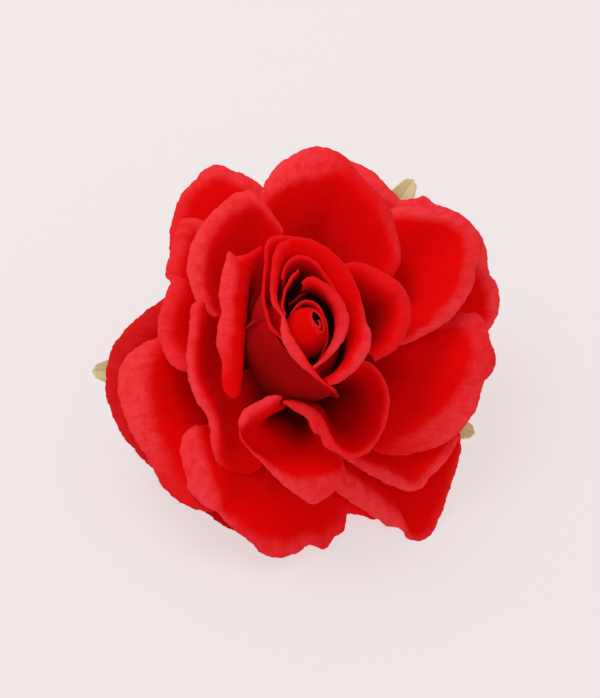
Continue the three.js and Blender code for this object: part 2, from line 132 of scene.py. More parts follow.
def smooth(knots: np.ndarray, shares: np.ndarray) -> np.ndarray:
    """Points at shares of the length of smooth curves through knots.

    Args:
        knots: Points to pass through, shaped (curves, knots, columns).
        shares: Shares of each curve's length, from 0 to 1.

    Returns:
        Points, shaped (curves, shares, columns).
    """
    before = 2 * knots[:, :1] - knots[:, 1:2]
    after = 2 * knots[:, -1:] - knots[:, -2:-1]
    fence = np.concatenate([before, knots, after], axis=1)
    gap = np.maximum(np.linalg.norm(np.diff(fence, axis=1), axis=2), LEAST_GAP) ** 0.5
    s = np.linspace(0, 1, CURVE_STEPS, endpoint=False)[None, :, None]
    pieces = []
    for k in range(knots.shape[1] - 1):
        p0, p1, p2, p3 = (fence[:, k + i, None] for i in range(4))
        d0, d1, d2 = (gap[:, k + i, None, None] for i in range(3))
        m1 = ((p1 - p0) / d0 - (p2 - p0) / (d0 + d1) + (p2 - p1) / d1) * d1
        m2 = ((p2 - p1) / d1 - (p3 - p1) / (d1 + d2) + (p3 - p2) / d2) * d1
        pieces.append((2 * s**3 - 3 * s**2 + 1) * p1 + (s**3 - 2 * s**2 + s) * m1
                      + (3 * s**2 - 2 * s**3) * p2 + (s**3 - s**2) * m2)
    dense = np.concatenate([*pieces, knots[:, -1:]], axis=1)
    out = np.empty((len(knots), len(shares), knots.shape[2]))
    for i, (line, length) in enumerate(zip(dense, lengths(dense))):
        for column in range(knots.shape[2]):
            out[i, :, column] = np.interp(shares * length[-1], length, line[:, column])
    return out


@dataclass(frozen=True)
class FlowerFrame:
    """Where the flower's axis starts and how it leans."""

    lean: float = 29.9
    towards: float = -73.7
    receptacle: tuple[float, float, float] = (-3.68, 0.1, 17.6)

    def basis(self) -> np.ndarray:
        """The flower's right, up and axis directions.

        Returns:
            The three directions, as rows.
        """
        lean, towards = math.radians(self.lean), math.radians(self.towards)
        axis = np.array([math.sin(lean) * math.cos(towards), math.sin(lean) * math.sin(towards),
                         math.cos(lean)])
        right = unit(np.array([1.0, 0, 0]) - axis * axis[0])
        return np.stack([right, np.cross(axis, right), axis])

    def placed(self, points: np.ndarray) -> np.ndarray:
        """Points of the flower's frame in the part's frame, in metres."""
        return (points @ self.basis() + np.array(self.receptacle)) * MM

    def lifted(self, points: np.ndarray, least: float) -> np.ndarray:
        """Points with those that lie lower than a least height over the table raised to it.

        Args:
            points: Points of the flower's frame.
            least: Height over the table, in millimetres.

        Returns:
            Points of the flower's frame.
        """
        upright = self.basis()[:, 2]
        short = least - (points @ upright + self.receptacle[2])
        return points + np.maximum(short, 0)[..., None] * upright


FLOWER = FlowerFrame()


@dataclass(frozen=True)
class Viewpoint:
    """Where the camera stands, at the photograph's angle, and the size of its picture."""

    distance: float = 450.0  # from the camera to what it looks at
    elevation: float = 45.0
    aside: tuple[float, float] = (3.46, 5.77)  # how far that lies right of and above the receptacle
    lens: float = 100.5
    film: float = 36.0
    picture: tuple[int, int] = (600, 698)  # pixels across and down

    def ways(self) -> np.ndarray:
        """The camera's right, up and backward directions, as rows."""
        tilt = math.radians(self.elevation)
        back = np.array([0, -math.cos(tilt), math.sin(tilt)])
        right = np.array([1.0, 0, 0])
        return np.stack([right, np.cross(back, right), back])

    def laid(self, across: float, down: float, w: float) -> tuple[float, float]:
        """Where the line of sight through a point of the photograph reaches a height.

        Args:
            across: Pixels from the left edge.
            down: Pixels from the top edge.
            w: The height, along the flower's axis.

        Returns:
            Azimuth, to half a degree, and distance from the axis, to a tenth of a millimetre.
        """
        pixels = self.lens / self.film * self.picture[1]
        sight = np.array([(across - self.picture[0] / 2) / pixels,
                          (self.picture[1] / 2 - down) / pixels, -1])
        basis = FLOWER.basis()
        eye = basis @ (np.array([*self.aside, self.distance]) @ self.ways())
        way = basis @ (sight @ self.ways())
        x, y, _ = eye + way * (w - eye[2]) / way[2]
        return round(2 * math.degrees(math.atan2(y, x))) / 2, round(math.hypot(x, y), 1)


VIEW = Viewpoint()


# ---- meshes ----


def linked(name: str, data: bpy.types.ID) -> bpy.types.Object:
    """Puts an object into the scene.

    Args:
        name: The object's name.
        data: Its mesh, lamp or camera.

    Returns:
        The object, at the origin.
    """
    thing = bpy.data.objects.new(name, data)
    bpy.context.scene.collection.objects.link(thing)
    return thing


def quads(a: np.ndarray, b: np.ndarray, c: np.ndarray, d: np.ndarray) -> np.ndarray:
    """Four-cornered faces from four arrays of point numbers."""
    return np.stack([a.ravel(), b.ravel(), c.ravel(), d.ravel()], -1)


def normals(rows: np.ndarray) -> np.ndarray:
    """Unit normals of a grid of points."""
    return unit(np.cross(np.gradient(rows, axis=0), np.gradient(rows, axis=1)))


def cloth_layout(rows: np.ndarray) -> np.ndarray:
    """Where each point of a sheet lies on the flat cloth, from its lengths both ways."""
    u = lengths(rows.transpose(1, 0, 2)).T
    return np.stack([u - u[len(u) // 2], lengths(rows)], -1)


def weld(mesh: bpy.types.Mesh) -> None:
    """Merges points that lie on each other, such as those on the axis of a turned solid.

    Args:
        mesh: The mesh to mend.
    """
    work = bmesh.new()
    work.from_mesh(mesh)
    bmesh.ops.remove_doubles(work, verts=work.verts, dist=WELD_GAP)
    bmesh.ops.dissolve_degenerate(work, edges=work.edges, dist=WELD_GAP / 10)
    work.to_mesh(mesh)
    work.free()


@dataclass
class Surface:
    """The middle of one piece of cloth: a grid of points, with the painted sheen on its rolled
    rim, and how far out of painted shade it is on the side away from the axis and the side to it."""

    rows: np.ndarray
    rolled: np.ndarray | float = 0.0
    painted_shade: tuple[np.ndarray | float, np.ndarray | float] = (1.0, 1.0)


@dataclass
class Cloth:
    """Closed thin sheets gathered into one mesh, with cloth coordinates in millimetres."""

    thick: float = CLOTH_THICK
    points: list[np.ndarray] = field(default_factory=list)
    faces: list[np.ndarray] = field(default_factory=list)
    layout: list[np.ndarray] = field(default_factory=list)
    edge: list[np.ndarray] = field(default_factory=list)
    rolled: list[np.ndarray] = field(default_factory=list)
    painted_shade: list[np.ndarray] = field(default_factory=list)
    count: int = 0

    def add(self, sheet: Surface) -> None:
        """Adds a closed sheet of cloth round its middle surface.

        Args:
            sheet: The middle surface.
        """
        rows = FLOWER.lifted(sheet.rows, self.thick / 2 + TABLE_GAP)
        grid = rows.shape[:2]
        normal = normals(rows)
        half = normal * self.thick / 2
        outward = (normal * rows * [1, 1, 0]).sum() > 0
        self.points += [(rows + half).reshape(-1, 3), (rows - half).reshape(-1, 3)]
        self.layout += [cloth_layout(rows).reshape(-1, 2)] * 2
        self.edge += [np.broadcast_to(np.linspace(0, 1, grid[1]), grid).ravel()] * 2
        self.rolled += [np.broadcast_to(sheet.rolled, grid).ravel()] * 2
        sides = sheet.painted_shade if outward else sheet.painted_shade[::-1]
        self.painted_shade += [np.broadcast_to(side, grid).ravel() for side in sides]
        top = self.count + np.arange(rows[..., 0].size).reshape(grid)
        under = top + top.size
        self.faces += [quads(*corners) for corners in (
            (top[:-1, :-1], top[1:, :-1], top[1:, 1:], top[:-1, 1:]),
            (under[:-1, :-1], under[:-1, 1:], under[1:, 1:], under[1:, :-1]),
            (under[:-1, 0], under[1:, 0], top[1:, 0], top[:-1, 0]),
            (top[:-1, -1], top[1:, -1], under[1:, -1], under[:-1, -1]),
            (top[0, :-1], top[0, 1:], under[0, 1:], under[0, :-1]),
            (under[-1, :-1], under[-1, 1:], top[-1, 1:], top[-1, :-1]))]
        self.count += 2 * top.size

    def turned(self, profile: Line, sides: int = TURNED_SIDES) -> None:
        """Adds a closed solid turned round the axis.

        Args:
            profile: Radius and w of its points, from the axis back to the axis.
            sides: Number of flat sides round it.
        """
        radius, w = (np.array(column) for column in zip(*profile))
        azimuth = (np.arange(sides) * 360 / sides)[:, None]
        ring = polar(azimuth, radius, w)
        flat = np.stack(np.broadcast_arrays(azimuth * TURNED_LAYOUT, w), -1)
        index = self.count + np.arange(sides * len(w)).reshape(sides, -1)
        after = np.roll(index, -1, axis=0)
        self.points.append(ring.reshape(-1, 3))
        self.layout.append(flat.reshape(-1, 2))
        self.edge.append(np.full(index.size, TURNED_EDGE))
        self.rolled.append(np.zeros(index.size))
        # turned solids get the darkest painted shade all over
        self.painted_shade.append(np.zeros(index.size))
        self.faces.append(quads(index[:, :-1], after[:, :-1], after[:, 1:], index[:, 1:]))
        self.count += index.size

    def object(self, name: str, material: bpy.types.Material) -> bpy.types.Object:
        """The gathered sheets as one finished object.

        Args:
            name: The piece's name.
            material: Its finish.

        Returns:
            The object, at the origin, with its place in its mesh.
        """
        mesh = bpy.data.meshes.new(name)
        points = FLOWER.placed(np.concatenate(self.points))
        mesh.from_pydata(points.tolist(), [], np.concatenate(self.faces).tolist())
        loops = np.empty(len(mesh.loops), np.int32)
        mesh.loops.foreach_get("vertex_index", loops)
        uv = mesh.uv_layers.new(name=CLOTH_UV)
        uv.data.foreach_set("uv", np.concatenate(self.layout)[loops].astype(np.float32).ravel())
        for key, values in ((EDGE_SHARE, self.edge), (SHEEN_MASK, self.rolled), (PAINTED_SHADE, self.painted_shade)):
            layer = mesh.attributes.new(key, "FLOAT", "POINT")
            layer.data.foreach_set("value", np.concatenate(values).astype(np.float32))
        mesh.polygons.foreach_set("use_smooth", np.ones(len(mesh.polygons), bool))
        mesh.materials.append(material)
        mesh.validate()
        weld(mesh)
        return linked(name, mesh)


# ---- petals ----

RIPPLE_WAVES = 6
RIPPLE_SWING = 0.45  # how far the waves turn away from running across, in radians
RIPPLE_SPAN = (0.7, 1.6)  # shortest and longest wave, as shares of the wavelength
FRAY_WAVES = ((1.1, 0.10), (1.9, 0.13), (3.1, 0.15), (5.3, 0.18), (9.0, 0.20))  # length, size
FRAY_SPAN = (0.85, 1.2)
SOFT_WAVE = 16  # distance between the long waves of a petal
CRIMP_WAVE, CRIMP_SIZE = 3, 0.06  # distance between its fine creases, and their height
CRIMP_STRETCH = (1, 0.35)  # the creases run along the petal
WAVES_START = 1.5  # how late the waves grow towards the rim, as a power
CREST_WINDOW = 7  # steps over which the place of the crest is evened out
CORNER_SHARE = 0.4  # most of a side that the rounding of a corner takes


def ripple(layout: np.ndarray, seed: int, wavelength: float) -> np.ndarray:
    """A smooth random height over flat cloth, about -1 to 1.

    Args:
        layout: Cloth coordinates in millimetres, shaped (across, along, 2).
        seed: Fixes the waves.
        wavelength: Mean distance between crests, in millimetres.

    Returns:
        Heights, shaped (across, along).
    """
    draw = np.random.default_rng(seed)
    height = np.zeros(layout.shape[:2])
    for _ in range(RIPPLE_WAVES):
        angle = draw.normal(0, RIPPLE_SWING)
        turn = 2 * math.pi / (wavelength * draw.uniform(*RIPPLE_SPAN))
        way = layout[..., 0] * math.cos(angle) + layout[..., 1] * math.sin(angle)
        height += np.sin(way * turn + draw.uniform(0, 2 * math.pi))
    return height * 2 / RIPPLE_WAVES


def waved(rows: np.ndarray, size: float, seed: int) -> np.ndarray:
    """The surface with long soft waves and fine creases that grow towards the rim.

    Args:
        rows: Points, shaped (across, along, 3).
        size: Height of the long waves.
        seed: Fixes the waves.

    Returns:
        Points, shaped as the rows.
    """
    layout = cloth_layout(rows)
    grow = np.linspace(0, 1, rows.shape[1])[None] ** WAVES_START
    soft = size * grow * ripple(layout, seed, SOFT_WAVE)
    fine = CRIMP_SIZE * grow * ripple(layout * CRIMP_STRETCH, seed + 1, CRIMP_WAVE)
    return rows + normals(rows) * (soft + fine)[..., None]


def frayed(length: np.ndarray, seed: int) -> np.ndarray:
    """How far a cut edge strays from its line.

    Args:
        length: Lengths walked along the edge.
        seed: Fixes the fray.

    Returns:
        Distances, one for each length.
    """
    draw = np.random.default_rng(seed)
    stray = np.zeros(len(length))
    for wavelength, size in FRAY_WAVES:
        turn = 2 * math.pi / (wavelength * draw.uniform(*FRAY_SPAN))
        stray += size * np.sin(length * turn + draw.uniform(0, 2 * math.pi))
    return stray


def rolled_part(rows: np.ndarray, crest: np.ndarray, soft: float) -> np.ndarray:
    """How far each point lies past the crest of its line, from 0 inside to 1 on the rolled rim.

    Args:
        rows: Points, shaped (across, along, 3).
        crest: Where each line turns over, shaped (across, 3).
        soft: Length of the change from 0 to 1, in millimetres.

    Returns:
        Shares, shaped (across, along).
    """
    walked = lengths(rows)
    nearest = np.linalg.norm(rows - crest[:, None], axis=2).argmin(axis=1)
    at = np.pad(walked[np.arange(len(rows)), nearest], CREST_WINDOW // 2, mode="edge")
    at = np.convolve(at, np.ones(CREST_WINDOW) / CREST_WINDOW, mode="valid")
    share = np.clip((walked - at[:, None]) / soft + 0.5, 0, 1)
    return share * share * (3 - 2 * share)


def spread_points(line: Line, w: Heights) -> np.ndarray:
    """The points of a line with their heights.

    Args:
        line: Each point as given in the photograph, or as azimuth and distance from the axis.
        w: A height for each point, or a few shared out over the length.

    Returns:
        Points, shaped (points, 3).
    """
    laid = [VIEW.laid(*point) if len(point) == PICKED else point for point in line]
    azimuth, radius = (np.array(column) for column in zip(*laid))
    flat = polar(azimuth, radius, 0.0)
    walked = lengths(flat[None])[0]
    flat[:, 2] = w if len(w) == len(line) else along(w, walked / walked[-1])
    return flat


def folded(inner: np.ndarray, crest: np.ndarray, outer: np.ndarray,
           size: float) -> list[np.ndarray]:
    """Two points for each crest, one on each side of it, that cut the corner there.

    Args:
        inner: Points that the cloth comes from.
        crest: The corners.
        outer: Points that the cloth goes to.
        size: Distance of the two points from the corner, up to a share of either side.

    Returns:
        The points before and after the corner.
    """
    out = []
    for gap in (inner - crest, outer - crest):
        length = np.maximum(np.linalg.norm(gap, axis=1, keepdims=True), LEAST_GAP)
        out.append(crest + gap / length * np.minimum(size, CORNER_SHARE * length))
    return out


@dataclass(kw_only=True)
class CutCloth:
    """What all petals share: a cut rim, and a crest inside it where the cloth turns over."""

    rim: Line
    w: Heights
    crest: Line | None = None  # where band and drop don't give it
    crest_w: Heights = (0,)
    band: Spread  # how far the rolled rim reaches past the crest
    drop: Spread  # how far it falls from the crest
    pale: Spread  # how strong the painted sheen on the rolled rim is
    wave: float  # height of the long waves
    fold: float  # size of the rounding at the crest
    soft: float  # length over which the painted sheen on the rolled rim fades in
    fray: float  # how much the cut edge strays
    packing: float  # power that packs the steps towards the rim
    steps: tuple[int, int] = (150, 34)

    def roll_way(self, rims: np.ndarray) -> np.ndarray:
        """Which way the rim rolls at each of its points."""
        raise NotImplementedError

    def edges(self, seed: int) -> tuple[np.ndarray, np.ndarray]:
        """The rim, and the crest inside it.

        Args:
            seed: Fixes the fray.

        Returns:
            Two lines of points with as many steps as the petal has across.
        """
        shares = np.linspace(0, 1, self.steps[0])
        rims = spread_points(self.rim, self.w)
        if self.crest:
            both = np.concatenate([rims, spread_points(self.crest, self.crest_w)], axis=1)
            both = smooth(both[None], shares)[0]
            rims, crest = both[:, :3], both[:, 3:]
            way = unit(rims - crest, LEAST_GAP)
        else:
            rims = smooth(rims[None], shares)[0]
            way = self.roll_way(rims)
            crest = rims - way * along(self.band, shares)[:, None]
            crest[:, 2] += along(self.drop, shares)
        stray = self.fray * frayed(lengths(rims[None])[0], seed)
        return rims + way * stray[:, None], crest

    def draped(self, knots: list[np.ndarray], rims: np.ndarray, crest: np.ndarray,
               seed: int) -> tuple[np.ndarray, np.ndarray]:
        """The cloth through lines of knots, over the crest and down to the rim.

        Args:
            knots: Lines of points from the root to just inside the crest.
            rims: The cut edge.
            crest: Where the cloth turns over.
            seed: Fixes the small waves.

        Returns:
            The surface's points, and how much painted sheen each has on the rolled rim.
        """
        knots = [*knots, *folded(knots[-1], crest, rims, self.fold), rims]
        rows = smooth(np.stack(knots, axis=1), np.linspace(0, 1, self.steps[1]) ** self.packing)
        rows = waved(rows, self.wave, seed)
        pale = along(self.pale, np.linspace(0, 1, self.steps[0]))[:, None]
        return rows, rolled_part(rows, crest, self.soft) * pale


@dataclass(kw_only=True)
class Petal(CutCloth):
    """A spreading petal, which leaves its hub as a narrow claw and widens to its crest."""

    at: float  # azimuth of its middle
    claw: float  # height at which it leaves the hub
    reach: float = 9.0  # distance from the axis at which it does
    band: Spread = (4,)
    drop: Spread = (1,)
    pale: Spread = (0.8,)
    back: Line | None = None  # a line that the cloth passes between its belly and its crest
    back_w: Heights = (0,)
    dive: Spread = ()  # how far the cloth dips just inside the crest
    out_of_shade: tuple[float, float] = (0.2, 0.63)  # between these shares the painted shade towards the claw lifts to full colour
    shade: float = 1.0  # how far out of painted shade it gets; lower paints the whole petal in shade
    spread: float = 0.42  # width of the waist, as a share of the crest's
    wave: float = 0.25
    fold: float = 1.6
    soft: float = 3.0
    fray: float = 0.4
    packing: float = 0.8
    root_width: float = 0.07
    waist: tuple[float, float] = (0.12, 0.08)  # how far out and how far up towards the crest
    belly: tuple[float, float] = (0.6, 0.4)
    dip_at: float = 0.22

    def sheet(self, hub_middle: float, seed: int) -> Surface:
        """The petal's cloth.

        Args:
            hub_middle: Height at which the petal starts in its hub.
            seed: Fixes the small waves and the fray.

        Returns:
            Its middle surface.
        """
        rims, crest = self.edges(seed)
        claw = polar(self.at, self.reach, self.claw)
        ahead = polar(self.at, 1.0, 0.0)
        gone = (crest - claw) @ ahead
        side = crest - claw - gone[:, None] * ahead
        side[:, 2] = 0
        rise = crest[:, 2] - claw[2]
        root = polar(self.at, ROOT_RADIUS, hub_middle) + self.root_width * side
        waist = claw + self.spread * side + self.waist[0] * gone[:, None] * ahead
        waist[:, 2] = claw[2] + self.waist[1] * rise
        belly = claw + self.belly[0] * (crest - claw)
        belly[:, 2] = claw[2] + self.belly[1] * rise
        knots = [root, waist, belly]
        shares = np.linspace(0, 1, self.steps[0])
        if self.back:
            knots.append(smooth(spread_points(self.back, self.back_w)[None], shares)[0])
        if self.dive:
            knots.append(crest + self.dip_at * (belly - crest))
            knots[-1][:, 2] -= along(self.dive, shares)
        painted_shade = rising(np.linspace(0, 1, self.steps[1])[None], self.out_of_shade) * self.shade
        return Surface(*self.draped(knots, rims, crest, seed), (painted_shade, painted_shade))

    def roll_way(self, rims: np.ndarray) -> np.ndarray:
        """Which way the rim rolls: between away from the claw and square to the rim.

        Args:
            rims: The rim's points.

        Returns:
            A direction for each point.
        """
        away = unit((rims - polar(self.at, self.reach, self.claw)) * [1, 1, 0])
        step = np.gradient(rims, axis=0)
        square = unit(np.stack([-step[:, 1], step[:, 0], np.zeros(len(rims))], -1))
        square *= np.sign((square * away).sum(1, keepdims=True))
        return unit(away + square)


@dataclass(kw_only=True)
class BudPetal(CutCloth):
    """A petal wound round the bud, which bellies out before it closes towards its rim."""

    belly: Spread  # distance from the axis at the widest place
    shoulder: Spread = ()  # distance from the axis above it
    shoulder_rise: float = 18.3
    skew: Spread = (0,)  # how far the lower part is turned
    skew_kept: float = 0.65  # how much of that is left at the belly
    band: Spread = (1,)
    drop: Spread = (0.5,)
    pale: Spread = (0.6,)
    inside: tuple[float, float] = (0.72, 0.97)  # where the painted shade on the inner side lifts to full colour
    outside: tuple[float, float] = (-0.2, 0.95)  # and on the outer side
    wave: float = 0.10
    fold: float = 0.7
    soft: float = 1.2
    fray: float = 0.2
    packing: float = 0.85
    hip: tuple[float, float] = (0.78, 3)  # share of the belly, and height over the foot
    belly_rise: float = 10

    def roll_way(self, rims: np.ndarray) -> np.ndarray:
        """Which way the rim rolls: straight away from the axis."""
        return unit(rims * [1, 1, 0])

    def sheet(self, foot: float, seed: int) -> Surface:
        """The petal's cloth.

        Args:
            foot: Height of the bud's foot.
            seed: Fixes the small waves and the fray.

        Returns:
            Its middle surface.
        """
        shares = np.linspace(0, 1, self.steps[0])
        rims, crest = self.edges(seed)
        azimuth = np.degrees(np.unwrap(np.arctan2(rims[:, 1], rims[:, 0])))
        turned = azimuth + along(self.skew, shares)
        width = along(self.belly, shares)
        knots = [polar(turned, ROOT_RADIUS, foot),
                 polar(turned, self.hip[0] * width, foot + self.hip[1]),
                 polar(azimuth * (1 - self.skew_kept) + turned * self.skew_kept, width,
                       foot + self.belly_rise)]
        if self.shoulder:
            knots.append(polar(azimuth, along(self.shoulder, shares), foot + self.shoulder_rise))
        up = np.linspace(0, 1, self.steps[1])[None]
        painted_shade = (rising(up, self.outside), rising(up, self.inside))
        return Surface(*self.draped(knots, rims, crest, seed), painted_shade)


# Each petal's rim is a list of points. A point of three numbers is given in the photograph:
# pixels across and down, and the height at which its line of sight is met. A point of two numbers
# is azimuth and distance from the axis. A listed crest has a point for each point of the rim.

OUTER_WHORL = [
    Petal(at=-178, shade=0.72, pale=(0.25,), band=(5,), drop=(1,), claw=2.3,
          w=(6, 6, 5, 5, 4.5, 4, 4, 4, 5),
          rim=[(178, 292, 6), (165, 298, 6), (150, 308, 6), (135, 320, 5.5), (122, 333, 5),
               (114, 346, 5), (109, 360, 5), (106, 376, 5), (106, 392, 5), (109, 406, 4.5),
               (115, 421, 4), (124, 437, 4), (135, 451, 4), (146, 462, 4), (153, 467.5, 4),
               (163, 462, 4.5), (172, 450, 5)]),
    Petal(at=-112, shade=0.6, pale=(0.05,), band=(5,), drop=(1,), claw=2.0,
          w=(4, 2, 0, -2, -2.4, 0),
          rim=[(196, 500, 4), (203, 509, 3), (210, 517, 1), (217, 522.5, 0), (227, 528, -1),
               (238, 533, -2), (248, 540, -2.4), (262, 541, -2), (276, 538, 0)]),
    Petal(at=-46, claw=2.0, fold=1.2, soft=2.4, pale=(1, 1, 1, 0.9, 0.4, 0.2, 0.3, 0.2),
          w=(9, 8.5, 8.5, 8, 7.5, 7, 6.5, 6, 5.8, 5.5, 5.5, 5.5, 5.5, 5.5, 5.5, 6, 6.5, 7, 7),
          rim=[(322, 470, 9), (328, 482, 8.5), (337, 492, 8.5), (347, 499.5, 8), (357, 506, 7.5),
               (368, 512.5, 7), (380, 520, 6.5), (388, 526, 6), (396, 527.5, 5.8),
               (403, 530.5, 5.5), (408, 538, 5.5), (412, 541, 5.5), (-52.5, 49.8), (-49.5, 50),
               (437, 522, 5.5), (446, 500, 6), (455, 470, 6.5), (461, 450, 7), (-20, 42)],
          crest_w=(10, 10.5, 10.5, 10.3, 10, 9.5, 8.6, 7.8, 7, 6.5, 6.2, 6, 6, 6, 6, 6.5, 7, 7.5,
                   7.5),
          crest=[(330, 460, 10), (340, 467, 10.5), (350, 473, 10.5), (360, 480, 10.3),
                 (371, 489, 10), (382, 498, 9.5), (393, 507, 8.6), (401, 514.5, 7.8), (406, 521, 7),
                 (409, 527, 6.5), (412, 534, 6.2), (415, 537, 6), (420, 536, 6), (427, 531, 6),
                 (434, 519, 6), (443, 498, 6.5), (452, 469, 7), (458, 450, 7.5), (-20, 41.3)]),
    Petal(at=52, claw=2.6, fold=1.4, soft=2.4, pale=(0.8, 0.9, 1, 0.8, 0.9, 0.8, 0.8),
          w=(6, 7, 8, 9, 10, 10, 10, 9, 9, 9, 8, 8, 8, 7, 7, 6, 6, 6, 6, 6),
          rim=[(318, 152, 6), (335, 152, 7), (348, 159.5, 8), (360, 165.5, 9), (371, 172, 10),
               (381, 181, 10), (391, 190.5, 10), (400, 198.5, 9), (406, 200, 9), (415, 197.5, 9),
               (424, 196.5, 8), (431, 203, 8), (440, 207, 8), (455, 211, 7), (470, 222, 7),
               (480, 236, 6), (485, 250, 6), (488, 265, 6), (489, 277, 6), (484, 290, 6)],
          crest_w=(8, 9, 10.5, 11.5, 12, 12, 12, 11.5, 11, 11, 10, 10, 10, 9, 9, 8, 8, 8, 8, 8),
          crest=[(322, 160, 8), (334, 162, 9), (345, 171, 10.5), (354, 178, 11.5), (362, 184, 12),
                 (369, 190, 12), (377, 198, 12), (388, 206, 11.5), (400, 211, 11), (412, 211, 11),
                 (422, 211, 10), (430, 214, 10), (438, 218, 10), (450, 221, 9), (461, 230, 9),
                 (470, 241, 8), (475, 253, 8), (478, 265, 8), (480, 277, 8), (477, 288, 8)]),
    Petal(at=118, pale=(0.3, 0.6, 0.9, 0.6), w=(5,), band=(2.6, 2.6, 3.2, 2), drop=(0.8,), claw=2.2,
          rim=[(170, 250, 5), (170, 236, 5), (172, 222, 5), (176, 208, 5), (180, 198, 5),
               (186, 189, 5), (196, 178, 5), (206, 168.5, 5), (220, 165, 5), (232, 170, 5),
               (246, 177, 5), (256, 183, 5), (266, 192, 5), (275, 215, 5)]),
]

